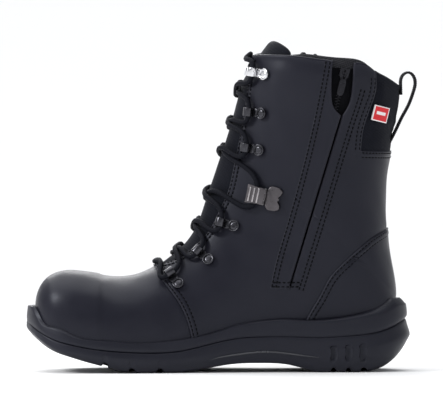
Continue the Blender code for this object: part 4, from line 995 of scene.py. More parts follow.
def flap_height(us, points):
    """Sewn flat at its front, rounded out over the teeth."""
    front, rear = solid(locate(smooth_path(FLAP_FRONT, 120))), solid(locate(flap_edge()))
    to_front, to_rear = away_from(points, front), away_from(points, rear)
    part = to_front / np.maximum(to_front + to_rear, 1e-6)
    return 0.35 + 0.35 * ease((part - 0.35) / 0.4) + 0.5 * ripple(points) + collar_pad(points) * 0.6


def make_flap():
    front = np.array([(x - 2.2, z) for x, z in flap_front()])
    front = under_collar(np.concatenate([front[:1] + [0.4, 6.0], front]))
    rear = under_collar(flap_edge())
    collar = smooth_path(COLLAR[:6], 120)
    top = collar[(collar[:, 0] > front[0, 0] + 0.4) & (collar[:, 0] < rear[-1, 0] - 0.4)][::-1]
    bottom = straight((front[-1, 0], ZIP_WINDOW_BOTTOM - 1.5), (rear[0, 0], ZIP_WINDOW_BOTTOM - 1.5))
    lines = [locate(front), locate(bottom), locate(rear), locate(top)]
    panel("zip_flap_leather", lines, "leather", (-1,), flap_height, thickness=1.5, step=1.7,
          stands_for=("zip_flap",))


def make_counter():
    lines = [COUNTER_LINE, edge_line(COUNTER_LINE[-1, 0], COUNTER_LINE[0, 0], 1.0)]
    panel("heel_cover_leather", lines, "leather", (-1, 1), counter_height, stands_for=("heel_counter_cover",))


def flex_height(us, points):
    """Soft fabric above, a ribbed band below."""
    ribs = ease((RIBBED_TOP - points[:, 2]) / 2.0) * (0.35 * np.sin(points[:, 2] * 2 * math.pi / 3.4) - 0.3)
    fold = 0.9 * np.exp(-(((points[:, 2] - RIBBED_TOP - 3.0) / 3.5) ** 2))
    below = below_collar(points)
    puff = 1.6 * ease(below / 9.0) * ease((34.0 - below) / 20.0)
    clear = ease((away_from(points, solid(np.concatenate([FLEX_LINE, FLEX_LOW]))) - 2.0) / 7.0)
    return -0.9 + (ribs + fold + puff + ripple(points, 1.6)) * clear


def make_flex():
    """The textile panel, tucked under the quarters' edges."""
    edge = beside(FLEX_LINE, 5.0, (0.0, -1.0))
    corner_x, bottom = float(surface(*edge[-1])[0]), FLEX_BOTTOM - 5.0
    low = locate(straight((corner_x, bottom), (136.9, bottom)))
    top = np.array([[COLLAR_END, 1.0]])
    lines = [edge, low[:-1], edge_line(back_knot(bottom), COLLAR_END, 1.0), top, COLLAR_BACK[::-1]]
    panel("rear_flex_fabric", lines, "textile", (-1, 1), flex_height, thickness=1.5, step=1.7,
          stands_for=("rear_flex_panel",))


SEAM_ROWS = (1.7, 5.2)
# Seam, how much further in its stitches lie, the side they lie on, the part of it that is sewn, the leather.
SEWN = (
    (SEAM, 0.0, (1.0, -0.2), slice(1, -2), quarter_height),
    (COUNTER_LINE, 0.0, (-1.0, 0.3), slice(1, -2), counter_height),
    (FACING_LINE, -0.2, (0.0, 1.0), slice(4, -2), quarter_height),
    (FLEX_LINE, 0.2, (0.0, -1.0), slice(2, None), quarter_height),
    (FLEX_LOW, 0.0, (-1.0, 0.0), slice(None, -1), quarter_height),
)


def make_seams():
    """Double rows of stitches along the seams, beside the flap's front, behind the zip and below it."""
    rows = []
    for side, _ in SIDES:
        for distance in SEAM_ROWS:
            for line, further, toward, sewn, height in SEWN:
                rows.append(stitch_row(beside(line, distance + further, toward)[sewn], side, height))
    rear = locate(straight(zip_side_view(1.1, -3.7), (102.5, 226.0)))
    for line, distances, height in ((locate(flap_front()), (-0.7, 2.6), flap_height),
                                    (rear, (6.6, 9.8), quarter_height)):
        rows += [stitch_row(beside(line, distance, (0.0, 1.0)), -1, height) for distance in distances]
    for z in (ZIP_WINDOW_BOTTOM + 0.6, ZIP_WINDOW_BOTTOM + 4.0):
        front_x, rear_x = (zip_side_view(across, z - 71.0)[0] for across in (-15.0, 8.0))
        rows.append(stitch_row(locate(straight((front_x, z), (rear_x, z))), -1, flap_height))
    stitches("seam_stitches", rows)


# ================================================================ collar, lining, tongue and padding


def collar_roll(name, places, side, kind, outer, inner, rise):
    """A rolled rim along the collar, from outer to inner millimetres under the surface, rise(x) high."""
    line = locate(places)
    base = surface(line[:, 0], line[:, 1] * side)
    out = normals(line[:, 0], line[:, 1] * side)
    up = np.cross(heading(base), out) * side
    up *= np.sign(up[:, 2:3])
    turns = np.linspace(0, math.pi, 13)
    middle, half = (inner + outer) / 2, (inner - outer) / 2
    rings = []
    for p, n, w in zip(base, out, up):
        high = rise(p[0])
        ring = [p - n * (middle - half * math.cos(a)) + w * (high * math.sin(a) ** 0.8 - 1.1) for a in turns]
        ring += [p - n * inner - w * 5.0, p - n * (outer + 0.8) - w * 5.0]
        rings.append(ring)
    return sweep(name, rings, kind, smooth=60.0)


def soft_roll(*values):
    """A rolled rim over soft filling, made just as collar_roll makes it."""
    collar_roll(*values)


def collar_rise(x):
    """The padding stands up behind the leather's edge, highest between the tongue and the heel."""
    return 1.6 + 2.6 * float(ease((x - PADDING_START) / 22.0) * ease((124.0 - x) / 22.0))


def make_collar():
    """The leather's bound edge, open at the zip, the textile panel's rolled top and the padding's top."""
    collar = smooth_path(COLLAR, 160)
    x = collar[:, 0]
    leather = collar[x <= LEATHER_END]
    fabric = collar[(x >= FABRIC_SPAN[0]) & (x <= FABRIC_SPAN[1])]
    front = leather[leather[:, 0] < ZIP_GAP[0]]
    rear = leather[leather[:, 0] > ZIP_GAP[1]]
    edges = (("lateral", leather, 1), ("medial_front", front, -1), ("medial_rear", rear, -1))
    for word, places, side in edges:
        collar_roll(f"collar_edge_{word}", places, side, "binding", -0.4, 2.4, lambda x: 1.9)
    for side, word in SIDES:
        soft_roll(f"collar_roll_back_{word}", fabric, side, "textile", -0.3, 7.2, lambda x: 2.9)
        padded = leather[leather[:, 0] > PADDING_START]
        soft_roll(f"collar_padding_{word}", padded, side, "lining", 1.8, 7.4, collar_rise)


def lining_height(us, points):
    return -LINING_DEPTH + ripple(points, 2.0) * 0.6


def make_lining():
    """The inner cloth, open along the tongue."""
    meet = under_collar(smooth_path(TONGUE_ROOM, 150))
    room = locate(meet)
    top = smooth_path(COLLAR, 160)
    top = top[(top[:, 0] > 60.0) & (top[:, 0] < 142.0)]
    top = locate(top[top[:, 0] > meet[-1, 0] + 0.6])
    start = float(room[0, 0])
    lines = [edge_line(3.0, start, 0.0), straight((start, 0.0), room[0]), room, top,
             np.array([[COLLAR_END, 1.0]]), edge_line(COLLAR_END, 3.0, 1.0),
             straight((3.0, 1.0), (3.0, 0.0), 0.03)]
    panel("lining_cloth", lines, "lining", (-1, 1), lining_height, thickness=1.5, step=4.0,
          stands_for=("lining",), round_over=0.6)


def make_tongue():
    """The padded tongue, leaning back above the top loops, its edge rolled."""
    columns = 49
    room = side_line(TONGUE_EDGE)
    throat, wide, top = KNOTS[6] + 9, LAST - 34.0, LAST - 9.5
    u = np.concatenate([np.linspace(throat, wide, 86), np.linspace(wide, top, 25)[1:]])
    over = np.clip((u - wide) / (top - wide), 0, 1)
    half = np.interp(u, room[:, 0], room[:, 1] - 0.02) * np.sqrt(1 - 0.9 * over**5)
    part = np.linspace(-1, 1, columns)
    s = half[:, None] * part[None, :]
    side_edge = 1 - np.abs(part)[None, :] * np.ones((len(u), 1))
    end_edge = np.minimum(1.0, (len(u) - 1 - np.arange(len(u))) / 7.0)[:, None]
    full = np.sqrt(1 - (1 - np.clip(side_edge / 0.12, 0, 1)) ** 2) * np.sqrt(1 - (1 - end_edge) ** 2)
    middle = (TONGUE[0] + TONGUE[1]) / 2
    bulge = 1.8 * np.cos(part[None, :] * math.pi / 2) ** 0.7 * np.ones((len(u), 1))
    points = []
    for sign, reach in ((-1, 1.25), (1, 1.05)):
        depth = middle + sign * reach * full - (bulge * full if sign < 0 else 0)
        sheet = surface(u[:, None], s) - normals(u[:, None], s) * depth[..., None]
        lean = np.clip((sheet[..., 2] - TONGUE_LEAN_FROM) / (262.0 - TONGUE_LEAN_FROM), 0, 2)
        sheet[..., 0] += TONGUE_LEAN * lean**1.3
        points.append(sheet.reshape(-1, 3))
    count = len(u) * columns
    faces = []
    for r in range(len(u) - 1):
        for c in range(columns - 1):
            a = r * columns + c
            faces.append((a, a + columns, a + columns + 1, a + 1))
            faces.append((count + a, count + a + 1, count + a + columns + 1, count + a + columns))
    bm = bmesh.new()
    verts = [bm.verts.new(p) for p in scene_points(np.concatenate(points))]
    for face in faces:
        bm.faces.new([verts[i] for i in face])
    bmesh.ops.remove_doubles(bm, verts=bm.verts, dist=1e-5)
    bmesh.ops.holes_fill(bm, edges=[e for e in bm.edges if e.is_boundary])
    mesh = bm_mesh("tongue_fabric", bm)
    add_piece("tongue_fabric", mesh, "textile", stands_for=("tongue",), smooth=70.0)


PAD_LOW = 187.0


def make_pads():
    """The foam under the collar, between the leather and the lining."""
    collar = smooth_path(COLLAR, 200)
    front = under_collar(smooth_path(TONGUE_ROOM, 150))
    front = np.array([(x + 2.5, z) for x, z in front if PAD_LOW < z < 238])
    for side, word in SIDES:
        back = FLEX_EDGE if side > 0 else FLAP_FRONT
        line = smooth_path(back, 120)
        shift = 3.0 if side > 0 else 6.5
        line = np.array([(x - shift, z) for x, z in line if PAD_LOW < z < COLLAR_AT(x - shift) - 2.5])
        line = line[::-1] if line[0, 1] > line[-1, 1] else line
        top = collar[(collar[:, 0] > front[-1, 0] + 10) & (collar[:, 0] < line[-1, 0] - 1)] - [0, 2.5]
        bottom = straight((line[0, 0], PAD_LOW), (front[0, 0], PAD_LOW))
        lines = [locate(part) for part in (front, top, line[::-1], bottom)]
        name = f"collar_foam_{word}"
        pad = panel(name, lines, "foam", (side,), lambda us, p: np.full(len(us), -2.2), thickness=3.0,
                    step=4.0, stands_for=(f"collar_pad_{word}",), round_over=0.9)


def make_footbed():
    """The loose felt sole under the foot: rounded edges, slightly cupped."""
    u = np.linspace(0.0, HEEL_KNOT, 300)
    inner, outer = surface(u, -np.ones_like(u)), surface(u, np.ones_like(u))
    x = np.linspace(FOOTBED_SPAN[0], FOOTBED_SPAN[1], 130)
    z = np.interp(x, outer[2:, 0], outer[2:, 2])
    half = np.interp(x, outer[:, 0], (outer[:, 1] - inner[:, 1]) / 2) - FOOTBED_INSET
    middle = np.interp(x, outer[:, 0], (outer[:, 1] + inner[:, 1]) / 2)
    ends = np.clip(np.minimum(x - x[0] + 0.3, x[-1] + 0.3 - x) / 14.0, 0, 1)
    half = np.minimum(half, 60.0 * np.sqrt(ends * (2 - ends)))
    across = np.linspace(-1, 1, 33)
    edge = np.sqrt(1 - np.clip((np.abs(across) - 0.93) / 0.07, 0, 1) ** 2)
    low, high = FOOTBED
    rings = []
    for px, pz, h, m in zip(x, z, half, middle):
        top = pz + low + (high - low) * (0.5 + 0.5 * edge) - 0.7 * (1 - np.abs(across) ** 2.5)
        bottom = pz + low + (high - low) * 0.5 * (1 - edge)
        ring = [(px, m + h * a, t) for a, t in zip(across, top)]
        ring += [(px, m + h * a, b) for a, b in zip(across[-2:0:-1], bottom[-2:0:-1])]
        rings.append(ring)
    sweep("footbed_pad", rings, "felt", stands_for=("footbed",), smooth=60.0)


# ================================================================ the sole

SPREAD_AT, BULGE_AT = through(SOLE_SPREAD), through(SOLE_BULGE)
BAND_AT, LIP_AT, TREAD_AT = through(BAND_LINE), through(LIP_TOP), through(TREAD_BOTTOM)


def tread_bottom(x):
    """The height of the tread's face."""
    return np.maximum(TREAD_AT(x), 0.0)


def sole_angles():
    """Angles from toe to heel, evenly spread, with extra ones at the edges of every slot and groove."""
    part = (np.arange(-148, 141, 1.9) - SOLE_MIDDLE) / SOLE_HALF
    angles = list(np.degrees(np.arccos(np.clip(-part, -1, 1))))
    angles += list(np.linspace(0, 14, 15)) + list(np.linspace(163, 180, 18))
    for x in TREAD_CUTS:
        for d in (-2.75, -2.3, -1.9, 1.9, 2.3, 2.75):
            angles.append(math.degrees(math.acos(-(x + d - SOLE_MIDDLE) / SOLE_HALF)))
    angles = np.array(sorted(angles))
    return angles[np.concatenate([[True], np.diff(angles) > 0.02])]


ANGLES = sole_angles()


def ring_line(inset, toe=0.0, heel=0.0):
    """x, half-width and middle along one side, inset millimetres inside the sole's outline."""
    x = SOLE_MIDDLE - SOLE_HALF * np.cos(np.radians(ANGLES))
    low, high = x[0], x[-1]
    x = low + toe + inset + (x - low) * (high - low - toe - heel - 2 * inset) / (high - low)
    half = SPREAD_AT(ANGLES) * np.sin(np.radians(ANGLES)) * (1 - inset / SOLE_SHRINK)
    return x, half, swing(x)


def groove(x):
    """1 in a tread groove, 0 on the tread, with steep walls."""
    near = np.min([np.abs(x - cut) for cut in TREAD_CUTS], axis=0)
    return ease((TREAD_GROOVE / 2 + GROOVE_WALL / 2 - near) / GROOVE_WALL)


def slot_depth(x, z):
    """How deep the upright slots in the sole's side are at a place."""
    depth = np.zeros_like(x)
    for slots, deep, wide in ((HEEL_SLOTS, 2.2, 2.3), (FORE_SLOTS, 0.6, 2.4)):
        for middle, low, high in slots:
            across = np.abs(x - middle)
            top = high - wide + np.sqrt(np.maximum(wide**2 - across**2, 0.0))
            inner = ease((wide - across) / 0.5) * ease((top - z) / 0.7 + 0.5) * ease((z - low) / 0.7 + 0.5)
            rim = np.exp(-(((across - wide - 0.4) / 0.5) ** 2))
            rim = rim * ease((top + 0.8 - z) / 0.7) * ease((z - low) / 0.7)
            depth += deep * inner - 0.25 * deep * rim
    return depth


def sole_solid(name, rows, kind, stands_for, bottom=None):
    """A closed solid through rows of (inset, toe, heel, height, depth cut in), capped at both ends.

    The last two are functions, the depth may be None, and bottom shapes the first cap's face.
    """
    lines = []
    for inset, toe, heel, height, cut_in in rows:
        x, half, middle = ring_line(inset, toe, heel)
        z = height(x)
        if cut_in is not None:
            change = cut_in(x, z)
            half = half * (1 - change / SOLE_SHRINK)
            lengthways = change / SOLE_HALF * np.abs(np.cos(np.radians(ANGLES)))
            x = SOLE_MIDDLE + (x - SOLE_MIDDLE) * (1 - lengthways)
        inner = np.stack([x, middle - half, z], axis=1)
        outer = np.stack([x, middle + half, z], axis=1)
        lines.append(np.concatenate([inner, outer[-2:0:-1]]))
    count, turns = len(lines[0]), len(ANGLES) - 1
    bm = bmesh.new()
    loops = [[bm.verts.new(p) for p in scene_points(line)] for line in lines]
    wrap(bm, loops)
    for loop, cap, flip in ((loops[0], bottom, False), (loops[-1], None, True)):
        across = [0.0, 1.0] if cap is None else np.linspace(0, 1, 25)
        strips = []
        for i in range(turns + 1):
            a, b = loop[i], loop[-i % count] if i < turns else loop[turns]
            if a is b:
                strips.append([a] * len(across))
                continue
            strip = [a]
            for part in across[1:-1]:
                p = a.co.lerp(b.co, part)
                p.z = cap(p.x / MM, (p.y / MM) + ORIGIN[1]) * MM
                strip.append(bm.verts.new(p))
            strips.append(strip + [b])
        for one, two in zip(strips, strips[1:]):
            for k in range(len(across) - 1):
                corners = list(dict.fromkeys([one[k], one[k + 1], two[k + 1], two[k]]))
                if len(corners) > 2:
                    bm.faces.new(corners[::-1] if flip else corners)
    return add_piece(name, bm_mesh(name, bm), kind, stands_for=stands_for, smooth=42.0)


def lug_height(x, y):
    """The tread's face: grooves in from both sides, and fine wavy ones under the ball and the heel."""
    ground = float(tread_bottom(x))
    sideways_part = float(ease((abs(y - float(swing(x))) - 13.0) / 3.0))
    deep = float(groove(np.array([x]))[0]) * TREAD_DEPTH * sideways_part
    zigzag = abs(((y + 1.6 * math.sin(x * 0.55)) % 15.0) - 7.5)
    fine = 1.7 * float(ease((1.5 - zigzag) / 0.6)) if (x < -38 or x > 78) else 0.0
    return ground + max(deep, fine)


def between(low, high, part):
    """The height function part of the way from low to high."""
    return lambda x: low(x) + (high(x) - low(x)) * part


def wall_rows():
    """Rows of the outsole's side, from the tread's edge up to the band line."""
    profile = [(0.0, 4.6), (0.03, 3.6), (0.09, 2.6), (0.16, 1.9), (0.24, 1.45), (0.33, 1.05), (0.42, 0.72),
               (0.52, 0.42), (0.62, 0.2), (0.72, 0.06), (0.82, 0.0), (0.9, 0.0), (1.0, 0.0), (1.1, 0.05),
               (1.2, 0.12), (1.3, 0.2), (1.4, 0.28), (1.5, 0.38), (1.6, 0.48), (1.7, 0.6), (1.8, 0.74),
               (1.88, 0.9), (1.95, 1.15), (2.0, 1.7)]
    rows = []
    for part, inset in profile:
        ends = min(4.0, inset * 0.87)
        if part < 1:
            base = between(tread_bottom, BULGE_AT, part)
        else:
            base = between(BULGE_AT, lambda x: BAND_AT(x) - 0.4, part - 1)
        toe = -0.75 * inset if part > 1.05 else ends
        bulge = 1.7 * math.exp(-(((part - 0.95) / 0.5) ** 2))
        rows.append((inset, toe, ends * 0.9 - bulge, over_grooves(base, part), slot_depth))
    return rows


def over_grooves(base, part):
    """The height function base, lifted clear of the tread's grooves low on the side."""
    def height(x):
        z = base(x)
        if part < 0.2:
            z = np.maximum(z, tread_bottom(x) + groove(x) * TREAD_DEPTH + part * 3.0)
        if part < 0.5:
            z = np.maximum(z, tread_bottom(x) + groove(x) * (TREAD_DEPTH + part))
        return z
    return height


def outsole_top(x):
    """The outsole's inner face, under the band."""
    return np.minimum(tread_bottom(np.clip(x, -140, 140)) + 7.2, BAND_AT(x) - 4.0)


def make_outsole():
    top = [(3.6, 0, 0, lambda x: BAND_AT(x) - 3.0, None), (8.5, 0, 0, outsole_top, None)]
    sole_solid("outsole_rubber", wall_rows() + top, "outsole", ("outsole",), bottom=lug_height)


def inner_lip(x):
    """The lip's inner edge, against the leather."""
    return LIP_AT(np.clip(x, -151.5, 139.3))


def outer_lip(x):
    """The lip's outer corner: lower than its inner edge round the heel."""
    return inner_lip(x) - 3.4 * ease((x - 112.0) / 30.0)


def lip_height(inset, ends, rise):
    """The lip's upper face on a ring inset inside the outline, looked up where the outline itself runs."""
    low, high = SOLE_MIDDLE - SOLE_HALF, SOLE_MIDDLE + SOLE_HALF
    part = min(1.0, (inset - 2.0) / 3.4)

    def height(x):
        out = low + (x - low - ends - inset) * (high - low) / (high - low - 2 * (ends + inset))
        slope = inner_lip(out) - outer_lip(out) - 3.0 * ease((-138.0 - out) / 10.0)
        return outer_lip(out) + slope * part + rise
    return height


def make_midsole():
    """The upper band: a thin gap above the outsole, a full side and a lip sloping up to the leather."""
    rows = [(6.6, 0, 0, lambda x: BAND_AT(x) - 3.6, None),
            (3.4, -1.8, 0, lambda x: BAND_AT(x) - 1.9, None),
            (2.2, -1.6, 0, lambda x: BAND_AT(x) - 0.3, None),
            (1.5, -1.1, 0, lambda x: BAND_AT(x) + 0.3, None)]
    for part, inset in ((0.08, 1.15), (0.2, 1.0), (0.32, 1.0), (0.44, 1.1), (0.56, 1.25), (0.68, 1.45),
                        (0.78, 1.6), (0.86, 1.75), (0.92, 2.0)):
        rows.append((inset, -0.7, -0.4, between(BAND_AT, outer_lip, part), None))
    for inset, rise in ((2.5, -0.75), (3.2, -0.25), (4.2, 0.15), (5.4, 0.2), (6.6, 0.1), (8.0, -0.4)):
        ends = (inset - 2) * 0.25
        rows.append((inset, ends, ends, lip_height(inset, ends, rise), None))
    rows.append((9.5, 4.0, 4.0, lambda x: LIP_AT(x) - 3.4, None))
    sole_solid("midsole_band", rows, "sole", ("midsole",))


def side_wall_point(x, z, side, out):
    """A point out millimetres off the outsole's side at x and z."""
    angle = math.degrees(math.acos(-(x - SOLE_MIDDLE) / SOLE_HALF))
    half = float(SPREAD_AT(angle)) * math.sin(math.radians(angle))
    part = (z - float(tread_bottom(x))) / (float(BULGE_AT(x)) - float(tread_bottom(x)))
    inset = np.interp(part, [0.0, 0.09, 0.24, 0.42, 0.62, 0.82, 1.0], [4.6, 2.6, 1.45, 0.72, 0.2, 0.0, 0.0])
    return np.array([x, float(swing(x)) + side * (half * (1 - inset / SOLE_SHRINK) + out), z])


def make_arch_ridges():
    """The thin raised line along each side of the arch, fading out at both ends."""
    for side, word in SIDES:
        path = smooth_path(ARCH_RIDGE, 60)
        centre = np.array([side_wall_point(x, z, side, 0.5) for x, z in path])
        size = np.sqrt(np.clip(np.minimum(np.arange(60), 59 - np.arange(60)) / 14.0, 0.02, 1.0))
        rings = []
        for p, t, r in zip(centre, heading(centre), size):
            w = unit(np.cross(t, [0, side, 0]))
            n = np.cross(w, t)
            rings.append([p + n * (0.95 * r * math.cos(a)) + w * (0.75 * r * math.sin(a))
                          for a in np.linspace(0, 2 * math.pi, 10, endpoint=False)])
        # Its look is lighter than the sole's rubber: a painted highlight along the ridge.
        sweep(f"arch_ridge_{word}", rings, "ridge", smooth=80.0)


# ================================================================ hardware


def hardware_frame(behind, ahead, side, at=0.5):
    """The local frame of a fitting: origin on the leather, X towards the facing, Z out of the leather."""
    middle = (behind[0] + (ahead[0] - behind[0]) * at, behind[1] + (ahead[1] - behind[1]) * at)
    origin, out = on_surface(*middle, side)
    reach = on_surface(*ahead, side)[0] - on_surface(*behind, side)[0]
    x = (reach - out * reach.dot(out)).normalized()
    return origin, x, out.cross(x), out


def box(bm, low, high, matrix, bevel=0.35, segments=3):
    """A box with rounded edges, added to bm."""
    size, middle = Vector(high) - Vector(low), (Vector(high) + Vector(low)) / 2
    cube = Matrix.Translation(middle) @ Matrix.Diagonal((*size, 1.0))
    verts = bmesh.ops.create_cube(bm, size=1.0, matrix=cube)["verts"]
    round_and_place(bm, verts, [e for v in verts for e in v.link_edges], matrix, bevel, segments)


def round_and_place(bm, verts, edges, matrix, bevel, segments):
    """Rounds the edges of one loose shape, then moves all of it by the matrix."""
    made = bmesh.ops.bevel(bm, geom=list(dict.fromkeys(edges)), offset=bevel, segments=segments, profile=0.5,
                           affect="EDGES", clamp_overlap=True)
    whole = dict.fromkeys([v for f in made["faces"] for v in f.verts] + [v for v in verts if v.is_valid])
    bmesh.ops.transform(bm, verts=list(whole), matrix=matrix)


def plate(bm, outline, low, high, matrix, bevel=0.3, segments=3):
    """A flat plate cut to a local (x, y) outline, its edges rounded."""
    under = [bm.verts.new((x, y, low)) for x, y in outline]
    over = [bm.verts.new((x, y, high)) for x, y in outline]
    wrap(bm, [under, over])
    bm.faces.new(under[::-1])
    bm.faces.new(over)
    flat = [e for v in under + over for e in v.link_edges if abs(e.verts[0].co.z - e.verts[1].co.z) < 1e-6]
    round_and_place(bm, under + over, flat, matrix, bevel, segments)


def lathe(bm, profile, matrix, sides=40):
    """A turned shape about local Z from (radius, z) points, added to bm."""
    rings = []
    for radius, z in profile:
        if radius < 1e-6:
            rings.append([bm.verts.new(matrix @ Vector((0, 0, z)))] * sides)
        else:
            rings.append([bm.verts.new(matrix @ Vector((radius * math.cos(a), radius * math.sin(a), z)))
                          for a in np.linspace(0, 2 * math.pi, sides, endpoint=False)])
    wrap(bm, rings)


def strap(bm, path, width, thick, matrix):
    """A bent strap with rounded edges along a local (x, z) path; width depends on the way along it."""
    rings = []
    for (x, z), (tx, tz), way in zip(path, heading(path), along(path)):
        half, r = width(way) / 2, thick / 2
        ring = []
        for cy, turns in ((half - r, np.linspace(math.pi / 2, -math.pi / 2, 7)),
                          (-(half - r), np.linspace(-math.pi / 2, -1.5 * math.pi, 7))):
            for a in turns:
                up = r * math.sin(a)
                ring.append(bm.verts.new(matrix @ Vector((x - tz * up, cy + r * math.cos(a), z + tx * up))))
        rings.append(ring)
    wrap(bm, rings)
    bm.faces.new(rings[0][::-1])
    bm.faces.new(rings[-1])


def loop_width(way):
    """A round tab under the rivet, a neck, and a wider rolled eye."""
    across = abs(way - 4.2)
    tab = 2 * math.sqrt(max(0.6, 4.3**2 - across**2)) if way < 8.0 else 0.0
    eye = 5.2 + 2.2 * float(ease((way - 7.5) / 3.0))
    return max(tab, min(LOOP_WIDTH, eye)) if way > 4.2 else tab


def loop_path():
    """From the tab under the rivet forwards and round the eye, as local (x, z)."""
    radius = EYE_INNER + LOOP_STRAP / 2
    turns = np.radians(np.linspace(-90, 218, 44))
    eye = [(EYE_AHEAD + radius * math.cos(a), EYE_HEIGHT + radius * math.sin(a)) for a in turns]
    flat = straight((-RIVET_BEHIND - 4.2, EYE_HEIGHT - radius), (EYE_AHEAD, EYE_HEIGHT - radius), 0.5)
    return np.array([*flat[:-1], *eye])


def make_loops():
    """The strap loops and their disc rivets; the top pair is bright."""
    path = loop_path()
    base = EYE_HEIGHT - EYE_INNER
    head = [(0.0, base + 0.1), (4.3, base + 0.1), (4.6, base + 0.35), (4.6, base + 0.9), (4.4, base + 1.15),
            (4.0, base + 1.22), (3.75, base + 1.1), (3.6, base + 0.45), (3.2, base + 0.4), (3.0, base + 0.8),
            (1.6, base + 0.9), (0.0, base + 0.92)]
    for side, word in SIDES:
        for i, (rivet, eye) in enumerate(LOOPS, start=1):
            matrix = frame_matrix(*hardware_frame(rivet, eye, side))
            kind = "silver" if i == len(LOOPS) else "gunmetal"
            bm = bmesh.new()
            strap(bm, path, loop_width, LOOP_STRAP, matrix)
            name = f"lace_loop_{word}_{i}"
            add_piece(f"{name}_strap", bm_mesh(name, bm), kind, stands_for=(name,), smooth=60.0)
            bm = bmesh.new()
            lathe(bm, head, matrix @ Matrix.Translation((-RIVET_BEHIND, 0, 0)))
            name = f"loop_rivet_{word}_{i}"
            add_piece(f"{name}_head", bm_mesh(name, bm), kind, stands_for=(name,), smooth=60.0)


LIE_ACROSS = Matrix.Rotation(math.pi / 2, 4, "X")


def smooth_outline(points, count):
    """A closed outline made smooth."""
    loop = np.array([*points[-3:], *points, *points[:3]], float)
    reach = along(loop)
    return Smooth(reach, loop)(np.linspace(reach[3], reach[3 + len(points)], count, endpoint=False))


def make_locks():
    """Each lace lock: a plate with a rounded tail and two knuckles, and a ribbed jaw hinged between them."""
    bone = [(-1.9, 0.0), (-1.9, 5.0), (-2.6, 8.2), (-5.0, 9.4), (-8.6, 9.3), (-11.8, 8.8), (-13.7, 7.0),
            (-13.2, 4.2), (-11.4, 1.9), (-10.7, 0.0), (-11.4, -1.9), (-13.2, -4.2), (-13.7, -7.0),
            (-11.8, -8.8), (-8.6, -9.3), (-5.0, -9.4), (-2.6, -8.2), (-1.9, -5.0)]
    bone = smooth_outline(bone, 72)
    axis = LOCK_AXIS_HEIGHT
    for side, word in SIDES:
        matrix = frame_matrix(*hardware_frame(LOCK_PIN, LOCK_AHEAD, side, at=0.0))
        bm = bmesh.new()
        plate(bm, bone, 0.5, 3.0, matrix, bevel=0.9, segments=5)
        box(bm, (-3.0, -5.2, 0.5), (13.4, 5.2, 1.3), matrix, 0.3)
        for low in (-6.2, 3.2):
            box(bm, (-1.3, low, 0.6), (1.3, low + 3.0, axis - 0.9), matrix, 0.4)
            knuckle = [(0.95, -1.5), (1.3, -1.5), (1.42, -1.3), (1.42, 1.3), (1.3, 1.5), (0.95, 1.5),
                       (0.95, -1.5)]
            lathe(bm, knuckle, matrix @ Matrix.Translation((0, low + 1.5, axis)) @ LIE_ACROSS, 24)
        add_piece(f"lock_base_{word}", bm_mesh("lock_base", bm), "bronze", stands_for=(f"lock_plate_{word}",))
        bm = bmesh.new()
        top = axis + 1.5
        wing = [(-0.9, -6.0), (-0.3, -6.6), (4.2, -6.5), (8.0, -6.3), (12.6, -7.6), (13.9, -7.4), (13.5, 0.0),
                (13.9, 7.4), (12.6, 7.6), (8.0, 6.3), (4.2, 6.5), (-0.3, 6.6), (-0.9, 6.0)]
        plate(bm, wing, top, top + 1.2, matrix, bevel=0.35)
        box(bm, (-1.0, -2.7, axis + 0.2), (3.4, 2.7, top + 1.1), matrix, 0.4)
        barrel = [(1.25, -2.7), (1.9, -2.7), (2.0, -2.4), (2.0, 2.4), (1.9, 2.7), (1.25, 2.7), (1.25, -2.7)]
        lathe(bm, barrel, matrix @ Matrix.Translation((0, 0, axis)) @ LIE_ACROSS, 24)
        add_piece(f"lock_jaw_{word}", bm_mesh("lock_jaw", bm), "bronze", body=f"lock_clamp_{word}",
                  stands_for=(f"lock_clamp_{word}",))
        bm = bmesh.new()
        for i in range(3):
            box(bm, (3.5 + 3.5 * i, -5.9, top + 0.7), (4.9 + 3.5 * i, 5.9, top + 2.0), matrix, 0.45)
        # The ribs' much lighter bronze is a painted highlight.
        add_piece(f"lock_jaw_ribs_{word}", bm_mesh("lock_jaw_ribs", bm), "worn", body=f"lock_clamp_{word}")
        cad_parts[f"lock_pin_{word}"].data.materials[0] = LOOKS["steel"]


# ================================================================ the lace


# The eyes are counted from the toe, and the lock is the fourth of the seven.
LOCK_EYE, EYES = 3, 7


def eye_points(index, side):
    """Where the lace enters and leaves an eye: below it and above it."""
    if index == LOCK_EYE:
        origin, x, y, z = hardware_frame(LOCK_PIN, LOCK_AHEAD, side, at=0.0)
        centre = origin + x * LOCK_LACE_AHEAD + z * LOCK_LACE_HEIGHT
    else:
        rivet, eye = LOOPS[index - (index > LOCK_EYE)]
        origin, x, y, z = hardware_frame(rivet, eye, side)
        centre = origin + x * EYE_AHEAD + z * EYE_HEIGHT
    up = y if y.z > 0 else -y
    reach = {0: 7.4, LOCK_EYE: 8.6}.get(index, 6.4)
    return centre - up * reach, centre + up * reach


def eye_place(index, side):
    """(u, s) of a loop's eye."""
    u, s = locate([LOOPS[index - (index > LOCK_EYE)][1]])[0]
    return np.array([u, s * side])


def place_of(point, side):
    """(u, s) of the surface beside a point over it."""
    u, s = locate([(point.x, point.z)])[0]
    return np.array([u, s * side])


def ridge_knot(z):
    """The section whose ridge point is at height z, above the throat."""
    u = np.linspace(KNOTS[6], LAST, 400)
    return float(np.interp(z, RIDGE_AT(u)[:, 1], u))


def over_tongue(start, end, z, heights):
    """Points of a strand between two places (u, s), crossing the ridge at height z."""
    middle = np.array([ridge_knot(z), 0.0])
    points = []
    for (u, s), height in zip(((start + middle) / 2, middle, (middle + end) / 2), heights):
        points.append(Vector(surface(u, s)) + Vector(normals(u, s)) * height)
    return points


# A strand's height over the tongue from start to end, where it passes over the other and where under it.
OVER, UNDER = (3.8, 1.5, 2.0), (2.2, -0.5, 2.0)
CROSS_SHIFT = {-1: 0.8, 1: -2.8}


